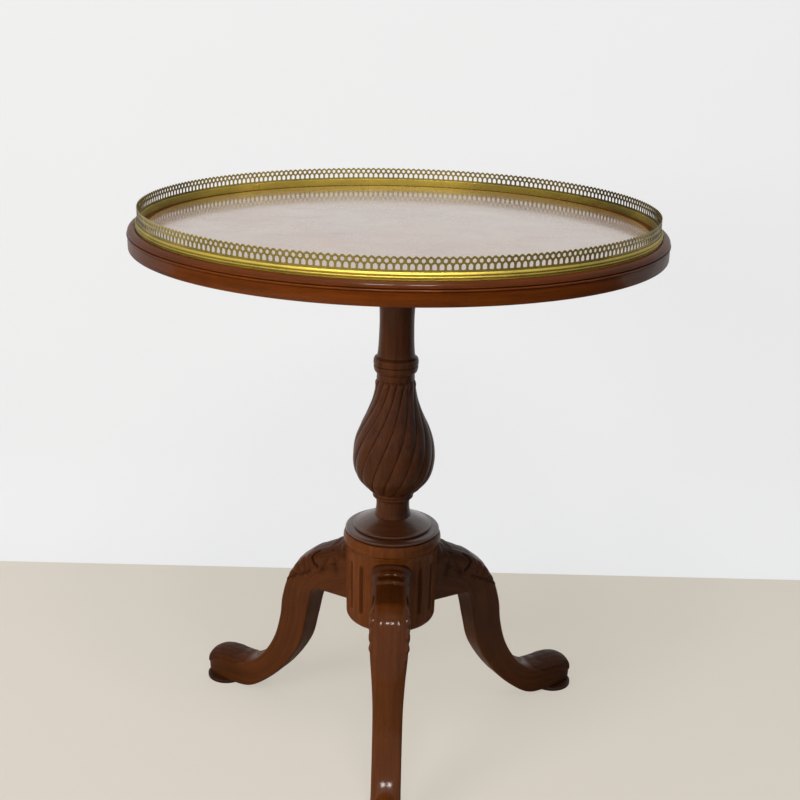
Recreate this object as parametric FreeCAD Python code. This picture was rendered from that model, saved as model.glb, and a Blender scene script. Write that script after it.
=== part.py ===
"""Tray top tea table: a round top with a pierced brass gallery on a turned column and three cabriole legs.

Millimetres. The origin is on the floor under the column, +Z is up and the front leg points along -Y.
"""
import FreeCAD, Part
import math
import os

from FreeCAD import Vector

# ---- Legs ----
pad_radius = 27.0            # round pad under the front of each foot
pad_thickness = 5.0
pad_edge_radius = 1.5
leg_reach = 248.0            # column axis to the highest point of a foot
pad_offset = 14.0            # highest point of the foot out to the centre of its pad
toe_overhang = 42.0          # highest point of the foot to the tip of the toe
foot_height = 46.0           # floor to the top of the foot
foot_crown = 12.0            # middle of the foot's rounded top above its sides
toe_height = 20.0            # floor to the tip of the toe
foot_width = 40.0
heel_setback = 32.0          # highest point of the foot back to where the instep starts to rise
ankle_reach = 190.0
ankle_height = 64.5
ankle_depth = 33.0           # thickness of the leg square to its slope
calf_setback = 25.5          # inner line of the calf, inside the shin's outer line
calf_height = 75.0
shin_reach = 162.5
shin_height = 129.0
shin_depth = 43.5            # radial thickness of the shin
shin_width = 36.0
knee_reach = 145.0
knee_height = 197.0
knee_width = 45.0
shoulder_reach = 114.0       # point on the slope between drum and knee
shoulder_height = 233.0
leg_top_drop = 8.0           # top of the drum down to where the leg meets it
root_top_drop = 2.0          # top of the drum down to the leg's outline inside the drum
leg_soffit_rise = 16.0       # foot of the drum up to the underside of the leg
arch_radius = 15.0           # corner between the soffit and the shin

# ---- Joint between a leg and the drum ----
dovetail_depth = 20.0
dovetail_neck = 22.0
dovetail_root = 30.0
dovetail_shoulder = 8.0      # the dovetail stops this far below the top of the leg
joint_clearance = 0.1

# ---- Drum ----
drum_bottom_height = 170.0
drum_height = 103.0
drum_radius = 56.5           # under the flared rim
drum_foot_radius = 55.5
drum_rim_radius = 59.6
drum_rim_height = 9.0
drum_edge_radius = 7.5
flutes_per_panel = 3
flute_pitch_angle = 15.0
flute_radius = 3.3
flute_depth = 2.2
flute_bottom_height = 200.0
flute_top_height = 260.0

# ---- Collar between the drum and the column ----
collar_height = 35.0
collar_foot_radius = 59.4
collar_band_height = 14.2    # swelling band under the torus
collar_band_radius = 57.8    # at the top of the band
collar_band_bulge = 1.5      # middle of the band outside a straight side
collar_torus_radius = 57.8
collar_torus_height = 5.4
collar_bead_radius = 47.8
collar_bead_height = 4.3
collar_bead_gap = 0.4        # flat between the torus and the bead
collar_dome_radius = 45.0
collar_dome_bulge = 1.2      # middle of the dome above a straight slope

# ---- Column ----
column_height = 314.0        # top of the collar to the underside of the block
column_foot_radius = 22.5
waist_radius = 20.2
waist_rise = 13.0            # top of the collar to the waist
fillet_radius = 24.8
fillet_rise = 24.0           # top of the collar to the first fillet
fillet_height = 3.0
vase_radius = 49.2
vase_foot_rise = 31.0        # top of the collar to the foot of the vase
vase_belly_rise = 79.0
vase_height = 143.0
vase_neck_radius = 23.3
reed_count = 16
reed_depth = 2.2
reed_twist_angle = 75.0
reed_sections = 8
reed_runout_share = 0.08     # share of the vase over which a reed runs out at each end
ring_radius = 26.5
ring_rise = 183.0            # top of the collar to the underside of the ring
ring_height = 19.0
neck_radius = 20.0
neck_rise = 243.0            # top of the collar to the slimmest point of the neck
capital_radius = 31.0
capital_height = 8.0
tenon_radius = 16.0          # turned tenon at each end of the column
lower_tenon_length = 96.0
wedge_thickness = 3.0
wedge_depth = 18.0

# ---- Block and top ----
block_side = 140.0
block_thickness = 22.2
block_chamfer = 6.0
board_thickness = 22.0
veneer_thickness = 0.8
top_radius = 304.6           # plain band of the edge moulding
moulding_width = 20.6
band_height = 14.6           # plain band
bead_radius = 1.0
groove_height = 1.0
groove_depth = 1.6
ovolo_setback = 1.0
ovolo_width = 8.8
ovolo_height = 6.2            # rises to a low lip round the gallery

# ---- Brass gallery ----
gallery_setback = 11.4       # plain band in to the middle of the pierced strip
fret_thickness = 0.8
strip_clearance = 0.2
channel_height = 8.0         # reeded channel that carries the strip
channel_outer = 1.6          # middle of the strip to the outer face of the channel
channel_inner = 1.8
channel_floor = 2.0
channel_reed_radius = 1.1
channel_foot_width = 0.6
channel_foot_height = 1.4
gallery_height = 23.0
opening_count = 270
slot_width = 4.3
slot_sill = 10.2             # top surface to the bottom of the slots
slot_side_height = 4.0
slot_point_height = 1.8
hole_radius = 1.9
hole_rise = 18.6             # top surface to the centre of the round holes
seam_angles = (30.7, 140.0, 258.7)   # where the strip's three lengths meet
seam_gap = 0.3
channel_seam_angle = 129.4
rivet_count = 12
rivet_radius = 0.8
rivet_head_radius = 1.4
rivet_head_height = 0.6
rivet_rise = 6.2
rivet_start_angle = 10.0
stud_count = 6
stud_radius = 1.5
stud_length = 9.0

# ---- Metal fixings ----
screw_shank_radius = 2.2
screw_head_radius = 4.4
screw_bite = 13.0            # length of a screw in the piece that it holds
block_screw_inset = 22.0
brace_thickness = 3.0
brace_hub_radius = 26.0
brace_arm_width = 24.0
brace_arm_reach = 48.0
brace_screw_radius_position = 42.0

# ---- Heights that follow ----
drum_top = drum_bottom_height + drum_height
leg_top_height = drum_top - leg_top_drop
leg_soffit_height = drum_bottom_height + leg_soffit_rise
collar_top = drum_top + collar_height
block_bottom = collar_top + column_height
board_bottom = block_bottom + block_thickness
board_top = board_bottom + board_thickness
top_surface = board_top + veneer_thickness
moulding_inner_radius = top_radius - moulding_width
gallery_radius = top_radius - gallery_setback
pitch_angle = 360.0 / opening_count

LEG_ANGLES = {"leg_front": 0.0, "leg_back_right": 120.0, "leg_back_left": 240.0}
Z_AXIS = Vector(0, 0, 1)
ORIGIN = Vector(0, 0, 0)


def section_point(radius, height):
    """A point of a turned profile, in the XZ plane."""
    return Vector(radius, 0, height)


def line(start, end):
    return Part.LineSegment(start, end).toShape()


def arc(start, middle, end):
    return Part.Arc(start, middle, end).toShape()


def curve(points):
    spline = Part.BSplineCurve()
    spline.interpolate(points)
    return spline.toShape()


def polygon(points):
    return Part.makePolygon(points + [points[0]])


def turned(edges):
    """Solid of revolution about Z from a closed loop of edges in the XZ plane."""
    face = Part.Face(Part.Wire(edges))
    return face.revolve(ORIGIN, Z_AXIS, 360)


def turned_polyline(pairs):
    points = [section_point(radius, height) for radius, height in pairs]
    face = Part.Face(polygon(points))
    return face.revolve(ORIGIN, Z_AXIS, 360)


def prism(points, direction):
    return Part.Face(polygon(points)).extrude(direction)


def turn(shape, degrees):
    turned_shape = shape.copy()
    turned_shape.rotate(ORIGIN, Z_AXIS, degrees)
    return turned_shape


def cylinder(radius, low, high, x=0.0, y=0.0):
    return Part.makeCylinder(radius, high - low, Vector(x, y, low))


def countersunk_screw(low, high, x, y):
    """A wood screw driven upwards: a flush conical head, then a plain shank with a pointed tip."""
    head_height = screw_head_radius - screw_shank_radius
    tip_height = 2 * screw_shank_radius
    head = Part.makeCone(screw_head_radius, screw_shank_radius, head_height, Vector(x, y, low))
    shank = cylinder(screw_shank_radius, low + head_height, high - tip_height, x, y)
    tip = Part.makeCone(screw_shank_radius, 0, tip_height, Vector(x, y, high - tip_height))
    return head.fuse([shank, tip]).removeSplitter()


# ---- Legs ----

def leg_outline():
    """Side outline of a leg in the XZ plane, from inside the drum to the toe and back under the instep."""
    root = drum_radius - dovetail_depth
    toe_reach = leg_reach + toe_overhang
    root_top = section_point(root, drum_top - root_top_drop)
    foot_start = section_point(ankle_reach + foot_height / 2, foot_height + 2)
    foot_end = section_point(leg_reach, foot_height)
    toe_tip = section_point(toe_reach, toe_height)
    toe_bend = section_point(leg_reach + 0.72 * toe_overhang, toe_height + 0.78 * (foot_height - toe_height))
    outer = curve([
        root_top,
        section_point(drum_radius, leg_top_height),
        section_point(shoulder_reach, shoulder_height),
        section_point(knee_reach, knee_height),
        section_point(shin_reach, shin_height),
        section_point(ankle_reach, ankle_height),
        foot_start,
        foot_end,
    ])
    toe = arc(foot_end, toe_bend, toe_tip)
    toe_foot = section_point(toe_reach - 2, pad_thickness)
    heel = section_point(leg_reach - heel_setback, pad_thickness)
    diagonal = ankle_depth / math.sqrt(2)
    shin_inner = section_point(shin_reach - shin_depth, shin_height)
    arch_low = section_point(shin_inner.x - 8, leg_soffit_height - arch_radius)
    arch_middle = section_point(arch_low.x - 0.3 * arch_radius, leg_soffit_height - 0.35 * arch_radius)
    arch_high = section_point(arch_low.x - arch_radius, leg_soffit_height - 1)
    inner = curve([
        heel,
        section_point(ankle_reach - diagonal, ankle_height - diagonal),
        section_point(shin_reach - calf_setback, calf_height),
        shin_inner,
        arch_low,
    ])
    root_soffit = section_point(root, leg_soffit_height)
    return [
        outer,
        toe,
        line(toe_tip, toe_foot),
        line(toe_foot, heel),
        inner,
        arc(arch_low, arch_middle, arch_high),
        line(arch_high, root_soffit),
        line(root_soffit, root_top),
    ]


def mirrored_loop(half):
    """Closed face from half of its outline, as (along, across) curve points, and its mirror image."""
    (first_along, first_across), (last_along, last_across) = half[0], half[-1]
    left = curve([Vector(along, across, 0) for along, across in half])
    right = curve([Vector(along, -across, 0) for along, across in half])
    start = line(Vector(first_along, -first_across, 0), Vector(first_along, first_across, 0))
    end = line(Vector(last_along, -last_across, 0), Vector(last_along, last_across, 0))
    return Part.Face(Part.Wire([start, left, end, right]))


def leg_plan():
    """Outline of the shin and foot seen from above, up to the height where the leg starts to widen."""
    half_foot = foot_width / 2
    half_shin = shin_width / 2
    foot_neck = leg_reach - heel_setback - 4
    widening = leg_reach - foot_neck
    foot = mirrored_loop([
        (foot_neck, half_shin),
        (foot_neck + 0.3 * widening, half_shin + 0.12 * (half_foot - half_shin)),
        (foot_neck + 0.7 * widening, half_shin + 0.8 * (half_foot - half_shin)),
        (leg_reach, half_foot),
        (leg_reach + 0.6 * toe_overhang, 0.9 * half_foot),
        (leg_reach + toe_overhang + 1, 0.42 * half_foot),
    ])
    shin = Part.Face(polygon([
        Vector(0, -half_shin, 0),
        Vector(foot_neck, -half_shin, 0),
        Vector(foot_neck, half_shin, 0),
        Vector(0, half_shin, 0),
    ]))
    height = Vector(0, 0, leg_waist_height())
    return foot.extrude(height).fuse(shin.extrude(height)).removeSplitter()


def leg_waist_height():
    """Height at which the leg starts to widen from the shin towards the knee."""
    return leg_soffit_height - 2 * arch_radius


def leg_front_view():
    """Outline of the knee seen along the leg, widening from the shin to its full width."""
    half_shin = shin_width / 2
    half_knee = knee_width / 2
    low = leg_waist_height()
    high = leg_soffit_height + 4
    rise = high - low
    flare = mirrored_loop([
        (low, half_shin),
        (low + 0.25 * rise, half_shin + 0.12 * (half_knee - half_shin)),
        (low + 0.7 * rise, half_shin + 0.78 * (half_knee - half_shin)),
        (high, half_knee),
    ])
    top = Part.Face(polygon([
        Vector(high, -half_knee, 0),
        Vector(leg_top_height * 1.5, -half_knee, 0),
        Vector(leg_top_height * 1.5, half_knee, 0),
        Vector(high, half_knee, 0),
    ]))
    length = Vector(0, 0, leg_reach)
    lying = flare.extrude(length).fuse(top.extrude(length)).removeSplitter()
    lying.rotate(ORIGIN, Vector(0, 1, 0), -90)
    lying.translate(Vector(leg_reach, 0, 0))
    return lying


def dovetail(clearance):
    """Vertical dovetail that joins a leg to the drum, along +X."""
    inner = drum_radius - dovetail_depth - clearance
    outer = drum_radius + 2
    half_neck = dovetail_neck / 2 + clearance
    half_root = dovetail_root / 2 + clearance
    low = drum_bottom_height
    high = leg_top_height - dovetail_shoulder + clearance
    points = [
        Vector(inner, -half_root, low),
        Vector(outer, -half_neck, low),
        Vector(outer, half_neck, low),
        Vector(inner, half_root, low),
    ]
    return prism(points, Vector(0, 0, high - low))


def arched_wire(along, crest, side):
    """Section of the space over a foot: arched at the bottom from side to side, and open above the leg."""
    half = foot_width / 2 + 0.5
    high = leg_top_height
    return Part.Wire([
        arc(Vector(along, -half, side), Vector(along, 0, crest), Vector(along, half, side)),
        line(Vector(along, half, side), Vector(along, half, high)),
        line(Vector(along, half, high), Vector(along, -half, high)),
        line(Vector(along, -half, high), Vector(along, -half, side)),
    ])


def foot_crown_cutter():
    """The space over a foot, which leaves its top rounded across from just past the ankle to the toe."""
    ankle_end = ankle_reach + 10
    foot_begin = leg_reach - 20
    crest = foot_height + 0.5
    sections = [
        arched_wire(ankle_end, ankle_height - 4, ankle_height - 6),
        arched_wire(foot_begin, crest, crest - foot_crown),
        arched_wire(leg_reach + toe_overhang + 5, crest, crest - foot_crown),
    ]
    return Part.makeLoft(sections, True, True)


def foot_pad():
    pad = cylinder(pad_radius, 0, pad_thickness, leg_reach + pad_offset)
    rims = [edge for edge in pad.Edges if edge.BoundBox.ZLength < 0.01 and edge.BoundBox.ZMin < 0.01]
    return pad.makeFillet(pad_edge_radius, rims)


def brace_screw_hole():
    low = drum_bottom_height - brace_thickness
    return cylinder(screw_shank_radius, low, low + brace_thickness + screw_bite, brace_screw_radius_position)


def leg():
    """A leg along +X with its dovetail and pad."""
    side = Part.Face(Part.Wire(leg_outline()))
    width = max(knee_width, foot_width)
    side.translate(Vector(0, -width / 2, 0))
    body = side.extrude(Vector(0, width, 0))
    body = body.common(leg_plan()).fuse(body.common(leg_front_view()))
    body = body.cut([drum_envelope(), foot_crown_cutter()])
    tenon = dovetail(0.0).common(drum_envelope())
    whole = body.fuse([tenon, foot_pad()]).removeSplitter()
    return whole.cut(brace_screw_hole())


# ---- Drum and collar ----

def drum_envelope():
    """The drum's turned shape before anything is cut into it."""
    rim_low = drum_top - drum_rim_height
    bottom = drum_bottom_height
    corner = drum_edge_radius
    corner_middle = corner * (1 - math.cos(math.pi / 4))
    return turned([
        line(section_point(0, bottom), section_point(drum_foot_radius - corner, bottom)),
        arc(section_point(drum_foot_radius - corner, bottom),
            section_point(drum_foot_radius - corner_middle, bottom + corner_middle),
            section_point(drum_foot_radius, bottom + corner)),
        line(section_point(drum_foot_radius, bottom + corner), section_point(drum_radius, rim_low)),
        arc(section_point(drum_radius, rim_low),
            section_point(drum_radius + 0.3 * (drum_rim_radius - drum_radius),
                          rim_low + drum_rim_height / 2),
            section_point(drum_rim_radius, drum_top)),
        line(section_point(drum_rim_radius, drum_top), section_point(0, drum_top)),
        line(section_point(0, drum_top), section_point(0, bottom)),
    ])


def drum_radius_at(height):
    low = drum_bottom_height + drum_edge_radius
    high = drum_top - drum_rim_height
    share = (height - low) / (high - low)
    return drum_foot_radius + share * (drum_radius - drum_foot_radius)


def flute_cutter():
    """A round-ended flute that follows the drum's slight taper, along +X."""
    low = flute_bottom_height + flute_radius
    high = flute_top_height - flute_radius
    offset = flute_radius - flute_depth
    start = Vector(drum_radius_at(low) + offset, 0, low)
    end = Vector(drum_radius_at(high) + offset, 0, high)
    run = end.sub(start)
    body = Part.makeCylinder(flute_radius, run.Length, start, run)
    return body.fuse([Part.makeSphere(flute_radius, start), Part.makeSphere(flute_radius, end)])


def drum():
    cutters = [cylinder(tenon_radius + joint_clearance, collar_top - lower_tenon_length - 1, drum_top)]
    cutter = flute_cutter()
    for leg_angle in LEG_ANGLES.values():
        cutters.append(turn(dovetail(joint_clearance), leg_angle - 90))
        panel_middle = leg_angle - 90 + 180 / len(LEG_ANGLES)
        for flute in range(flutes_per_panel):
            offset = (flute - (flutes_per_panel - 1) / 2) * flute_pitch_angle
            cutters.append(turn(cutter, panel_middle + offset))
    cutters.append(cylinder(screw_shank_radius, drum_bottom_height, drum_bottom_height + screw_bite))
    return drum_envelope().cut(cutters)


def collar():
    """Turned disc: a swelling band that carries on the drum's rim, a torus, a bead and a low dome."""
    bore = tenon_radius + joint_clearance
    band_top = drum_top + collar_band_height
    torus_half = collar_torus_height / 2
    torus_side = collar_torus_radius - torus_half
    torus_top = band_top + collar_torus_height
    bead_low = torus_top + collar_bead_gap
    bead_half = collar_bead_height / 2
    bead_side = collar_bead_radius - bead_half
    bead_top = bead_low + collar_bead_height
    band_middle = section_point(
        (collar_foot_radius + collar_band_radius) / 2 + collar_band_bulge,
        drum_top + collar_band_height / 2,
    )
    dome_middle = section_point(
        (collar_dome_radius + column_foot_radius) / 2,
        (bead_top + collar_top) / 2 + collar_dome_bulge,
    )
    return turned([
        line(section_point(bore, drum_top), section_point(collar_foot_radius, drum_top)),
        arc(section_point(collar_foot_radius, drum_top), band_middle,
            section_point(collar_band_radius, band_top)),
        line(section_point(collar_band_radius, band_top), section_point(torus_side, band_top)),
        arc(section_point(torus_side, band_top), section_point(collar_torus_radius, band_top + torus_half),
            section_point(torus_side, torus_top)),
        line(section_point(torus_side, torus_top), section_point(bead_side, torus_top)),
        line(section_point(bead_side, torus_top), section_point(bead_side, bead_low)),
        arc(section_point(bead_side, bead_low), section_point(collar_bead_radius, bead_low + bead_half),
            section_point(bead_side, bead_top)),
        line(section_point(bead_side, bead_top), section_point(collar_dome_radius, bead_top)),
        arc(section_point(collar_dome_radius, bead_top), dome_middle,
            section_point(column_foot_radius, collar_top)),
        line(section_point(column_foot_radius, collar_top), section_point(bore, collar_top)),
        line(section_point(bore, collar_top), section_point(bore, drum_top)),
    ])


# ---- Column ----

def vase_stations():
    """Points of the vase's outline over the reeds, from its foot to its neck."""
    foot = collar_top
    vase_low = foot + vase_foot_rise
    return [
        section_point(fillet_radius + 0.8, vase_low),
        section_point(0.77 * vase_radius, vase_low + 0.08 * vase_height),
        section_point(0.95 * vase_radius, vase_low + 0.19 * vase_height),
        section_point(vase_radius, foot + vase_belly_rise),
        section_point(0.92 * vase_radius, vase_low + 0.5 * vase_height),
        section_point(0.72 * vase_radius, vase_low + 0.67 * vase_height),
        section_point(0.55 * vase_radius, vase_low + 0.83 * vase_height),
        section_point(vase_neck_radius, vase_low + vase_height),
    ]


def reeded_section(radius, height, depth, turn_angle):
    """Closed wavy loop with one crest for each reed."""
    points = []
    for index in range(4 * reed_count):
        angle = math.radians(index * 90.0 / reed_count)
        wave = 0.5 - 0.5 * math.cos(reed_count * angle)
        reach = radius - depth * wave
        around = angle + math.radians(turn_angle)
        points.append(Vector(reach * math.cos(around), reach * math.sin(around), height))
    spline = Part.BSplineCurve()
    spline.interpolate(points, PeriodicFlag=True)
    return Part.Wire(spline.toShape())


def reeded_vase():
    """The vase with its spiral reeds, which rise to the right and run out at both ends."""
    outline = Part.BSplineCurve()
    outline.interpolate(vase_stations())
    sections = []
    first = outline.FirstParameter
    for index in range(reed_sections + 1):
        share = index / reed_sections
        point = outline.value(first + share * (outline.LastParameter - first))
        rise = (point.z - collar_top - vase_foot_rise) / vase_height
        runout = min(1.0, share / reed_runout_share, (1 - share) / reed_runout_share)
        depth = reed_depth * runout * min(1.0, point.x / (0.8 * vase_radius))
        sections.append(reeded_section(point.x, point.z, depth, reed_twist_angle * rise))
    return Part.makeLoft(sections, True, False)


def column_profile():
    """Outline of the column from the foot of the lower tenon to the end of the upper one."""
    foot = collar_top
    ring_low = foot + ring_rise
    ring_high = ring_low + ring_height
    vase_low = foot + vase_foot_rise
    vase_high = vase_low + vase_height
    neck = foot + neck_rise
    tenon_low = foot - lower_tenon_length
    capital_low = block_bottom - capital_height
    first_fillet = foot + fillet_rise
    core_radius = 0.8 * vase_neck_radius
    edges = [
        line(section_point(0, tenon_low), section_point(tenon_radius, tenon_low)),
        line(section_point(tenon_radius, tenon_low), section_point(tenon_radius, foot)),
        line(section_point(tenon_radius, foot), section_point(column_foot_radius, foot)),
        curve([section_point(column_foot_radius, foot), section_point(waist_radius, foot + waist_rise),
               section_point(waist_radius + 1, first_fillet - 3)]),
        line(section_point(waist_radius + 1, first_fillet - 3), section_point(fillet_radius, first_fillet)),
        line(section_point(fillet_radius, first_fillet),
             section_point(fillet_radius, first_fillet + fillet_height)),
        line(section_point(fillet_radius, first_fillet + fillet_height),
             section_point(fillet_radius, vase_low)),
        line(section_point(fillet_radius, vase_low), section_point(core_radius, vase_low)),
        line(section_point(core_radius, vase_low), section_point(core_radius, vase_high)),
        line(section_point(core_radius, vase_high), section_point(vase_neck_radius - 0.5, vase_high)),
        line(section_point(vase_neck_radius - 0.5, vase_high), section_point(vase_neck_radius - 1, ring_low)),
        line(section_point(vase_neck_radius - 1, ring_low), section_point(ring_radius - 1, ring_low)),
        arc(section_point(ring_radius - 1, ring_low), section_point(ring_radius, ring_low + ring_height / 2),
            section_point(ring_radius - 2, ring_high - 2)),
        line(section_point(ring_radius - 2, ring_high - 2), section_point(neck_radius + 1.6, ring_high)),
        curve([section_point(neck_radius + 1.6, ring_high), section_point(neck_radius, neck),
               section_point(capital_radius - 4, capital_low)]),
        line(section_point(capital_radius - 4, capital_low), section_point(capital_radius, capital_low)),
        line(section_point(capital_radius, capital_low), section_point(capital_radius, block_bottom)),
        line(section_point(capital_radius, block_bottom), section_point(tenon_radius, block_bottom)),
        line(section_point(tenon_radius, block_bottom), section_point(tenon_radius, board_bottom)),
        line(section_point(tenon_radius, board_bottom), section_point(0, board_bottom)),
        line(section_point(0, board_bottom), section_point(0, tenon_low)),
    ]
    return edges


def wedge(clearance):
    """Hardwood wedge that spreads the upper tenon in the block."""
    half = wedge_thickness / 2 + clearance
    tip = half / 4
    length = tenon_radius
    low = board_bottom - wedge_depth - clearance
    points = [
        Vector(-half, -length, board_bottom),
        Vector(half, -length, board_bottom),
        Vector(tip, -length, low),
        Vector(-tip, -length, low),
    ]
    body = prism(points, Vector(0, 2 * length, 0))
    return body.common(cylinder(tenon_radius, low, board_bottom))


def column():
    whole = turned(column_profile()).fuse(reeded_vase()).removeSplitter()
    return whole.cut(wedge(joint_clearance))


# ---- Block and top ----

def block_screw_places():
    offset = block_side / 2 - block_screw_inset
    return [(x, y) for x in (-offset, offset) for y in (-offset, offset)]


def block_screws():
    high = board_bottom + screw_bite
    return [countersunk_screw(block_bottom, high, x, y) for x, y in block_screw_places()]


def block():
    half = block_side / 2
    body = Part.makeBox(block_side, block_side, block_thickness, Vector(-half, -half, block_bottom))
    lower = [edge for edge in body.Edges if edge.BoundBox.ZMax < block_bottom + 0.01]
    body = body.makeChamfer(block_chamfer, lower)
    bore = cylinder(tenon_radius + joint_clearance, block_bottom, board_bottom)
    return body.cut([bore] + block_screws())


def board():
    body = cylinder(moulding_inner_radius, board_bottom, board_top)
    return body.cut(block_screws())


def veneer():
    return cylinder(moulding_inner_radius, board_top, top_surface)


def moulding_profile():
    """Edge moulding: a plain band, a bead, a groove and an ovolo up to a low lip round the gallery."""
    band_top = board_bottom + band_height
    bead_top = band_top + 2 * bead_radius
    groove_top = bead_top + groove_height
    ovolo_side = top_radius + bead_radius - ovolo_setback + 0.6
    ovolo_top = groove_top + ovolo_height
    diagonal = math.cos(math.pi / 4)
    ovolo_middle = section_point(
        ovolo_side - ovolo_width * (1 - diagonal),
        groove_top + ovolo_height * diagonal,
    )
    inner = moulding_inner_radius
    groove = top_radius - groove_depth
    return [
        line(section_point(inner, board_bottom), section_point(top_radius - 1, board_bottom)),
        line(section_point(top_radius - 1, board_bottom), section_point(top_radius, board_bottom + 1)),
        line(section_point(top_radius, board_bottom + 1), section_point(top_radius, band_top)),
        arc(section_point(top_radius, band_top),
            section_point(top_radius + bead_radius, band_top + bead_radius),
            section_point(top_radius, bead_top)),
        line(section_point(top_radius, bead_top), section_point(groove, bead_top)),
        line(section_point(groove, bead_top), section_point(groove, groove_top)),
        line(section_point(groove, groove_top), section_point(ovolo_side, groove_top)),
        arc(section_point(ovolo_side, groove_top), ovolo_middle,
            section_point(ovolo_side - ovolo_width, ovolo_top)),
        line(section_point(ovolo_side - ovolo_width, ovolo_top),
             section_point(ovolo_side - ovolo_width, top_surface)),
        line(section_point(ovolo_side - ovolo_width, top_surface), section_point(inner, top_surface)),
        line(section_point(inner, top_surface), section_point(inner, board_bottom)),
    ]


def moulding():
    return turned(moulding_profile()).cut(studs(joint_clearance))


# ---- Gallery ----

def studs(clearance):
    """Short brass studs under the channel, pressed into the moulding."""
    shapes = []
    for index in range(stud_count):
        angle = math.radians(360.0 * index / stud_count)
        x = gallery_radius * math.cos(angle)
        y = gallery_radius * math.sin(angle)
        low = top_surface - stud_length - clearance
        shapes.append(cylinder(stud_radius + clearance, low, top_surface, x, y))
    return shapes


def rivets(clearance):
    """Rivets that pin the strip in the channel, with their round heads inside the tray."""
    inner = gallery_radius - channel_inner
    end = gallery_radius + channel_outer / 2
    height = top_surface + rivet_rise
    shank = Part.makeCylinder(rivet_radius + clearance, end - inner,
                              Vector(inner, 0, height), Vector(1, 0, 0))
    head = Part.makeCylinder(rivet_head_radius, rivet_head_height,
                             Vector(inner - rivet_head_height, 0, height), Vector(1, 0, 0))
    rim = [edge for edge in head.Edges if edge.BoundBox.XMax < inner - rivet_head_height + 0.01]
    head = head.makeFillet(rivet_head_height * 0.8, rim)
    rivet = shank if clearance else shank.fuse(head).removeSplitter()
    step = 360.0 / rivet_count
    return [turn(rivet, rivet_start_angle + index * step) for index in range(rivet_count)]


def channel():
    """Reeded brass channel on the moulding, split once where its ends meet."""
    inner = gallery_radius - channel_inner
    outer = gallery_radius + channel_outer
    half = fret_thickness / 2 + strip_clearance
    floor = top_surface + channel_floor
    high = top_surface + channel_height
    foot = outer + channel_foot_width
    reed = channel_reed_radius
    first = top_surface + channel_foot_height + 0.4
    second = first + 2 * reed + 0.4
    edges = [
        line(section_point(inner, top_surface), section_point(foot, top_surface)),
        line(section_point(foot, top_surface), section_point(foot, top_surface + channel_foot_height)),
        line(section_point(foot, top_surface + channel_foot_height), section_point(outer, first)),
        arc(section_point(outer, first), section_point(outer + reed, first + reed),
            section_point(outer, first + 2 * reed)),
        line(section_point(outer, first + 2 * reed), section_point(outer, second)),
        arc(section_point(outer, second), section_point(outer + reed, second + reed),
            section_point(outer, second + 2 * reed)),
        line(section_point(outer, second + 2 * reed), section_point(outer - 0.6, high)),
        line(section_point(outer - 0.6, high), section_point(gallery_radius + half, high)),
        line(section_point(gallery_radius + half, high), section_point(gallery_radius + half, floor)),
        line(section_point(gallery_radius + half, floor), section_point(gallery_radius - half, floor)),
        line(section_point(gallery_radius - half, floor), section_point(gallery_radius - half, high)),
        line(section_point(gallery_radius - half, high), section_point(inner, high)),
        line(section_point(inner, high), section_point(inner, top_surface)),
    ]
    split = Part.makeBox(2 * moulding_width, seam_gap, gallery_height,
                         Vector(gallery_radius - moulding_width, -seam_gap / 2, top_surface - 1))
    split = turn(split, channel_seam_angle)
    return turned(edges).cut([split] + rivets(joint_clearance / 2))


def slot_cutter():
    """A slot with a pointed head, cut outwards along +X."""
    half = slot_width / 2
    sill = top_surface + slot_sill
    side = sill + slot_side_height
    start = gallery_radius - 2
    points = [
        Vector(start, -half, sill),
        Vector(start, half, sill),
        Vector(start, half, side),
        Vector(start, 0, side + slot_point_height),
        Vector(start, -half, side),
    ]
    return prism(points, Vector(4, 0, 0))


def hole_cutter():
    centre = Vector(gallery_radius - 2, 0, top_surface + hole_rise)
    return Part.makeCylinder(hole_radius, 4, centre, Vector(1, 0, 0))


def fret(first, last):
    """A length of the pierced strip between two seams, given as opening numbers."""
    half = fret_thickness / 2
    low = top_surface + channel_floor
    high = top_surface + gallery_height
    gap_angle = math.degrees(seam_gap / gallery_radius)
    start = first * pitch_angle + gap_angle / 2
    sweep = (last - first) * pitch_angle - gap_angle
    face = Part.Face(polygon([
        section_point(gallery_radius - half, low),
        section_point(gallery_radius + half, low),
        section_point(gallery_radius + half, high),
        section_point(gallery_radius - half, high),
    ]))
    strip = turn(face.revolve(ORIGIN, Z_AXIS, sweep), start)
    slot = slot_cutter()
    hole = hole_cutter()
    cutters = [turn(slot, (number + 0.5) * pitch_angle) for number in range(first, last)]
    cutters += [turn(hole, number * pitch_angle) for number in range(first + 1, last)]
    cutters += rivets(joint_clearance / 2)
    return strip.cut(cutters)


# ---- Brace ----

def brace_arms():
    return [turn(Part.makeBox(brace_arm_reach, brace_arm_width, brace_thickness,
                              Vector(0, -brace_arm_width / 2, drum_bottom_height - brace_thickness)),
                 angle - 90) for angle in LEG_ANGLES.values()]


def brace_screws():
    low = drum_bottom_height - brace_thickness
    high = drum_bottom_height + screw_bite
    outer = countersunk_screw(low, high, brace_screw_radius_position, 0)
    screws = [turn(outer, angle - 90) for angle in LEG_ANGLES.values()]
    return screws + [countersunk_screw(low, high, 0, 0)]


def brace():
    """Three-armed steel plate under the drum that keeps the dovetails up."""
    low = drum_bottom_height - brace_thickness
    hub = cylinder(brace_hub_radius, low, drum_bottom_height)
    plate = hub.fuse(brace_arms()).removeSplitter()
    return plate.cut(brace_screws())


def save(name, shapes):
    """Write one node; several shapes in it stay separate solids."""
    solids = [solid for shape in shapes for solid in shape.Solids]
    result = solids[0] if len(solids) == 1 else Part.makeCompound(solids)
    result.exportStep("parts/" + name + ".step")


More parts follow.
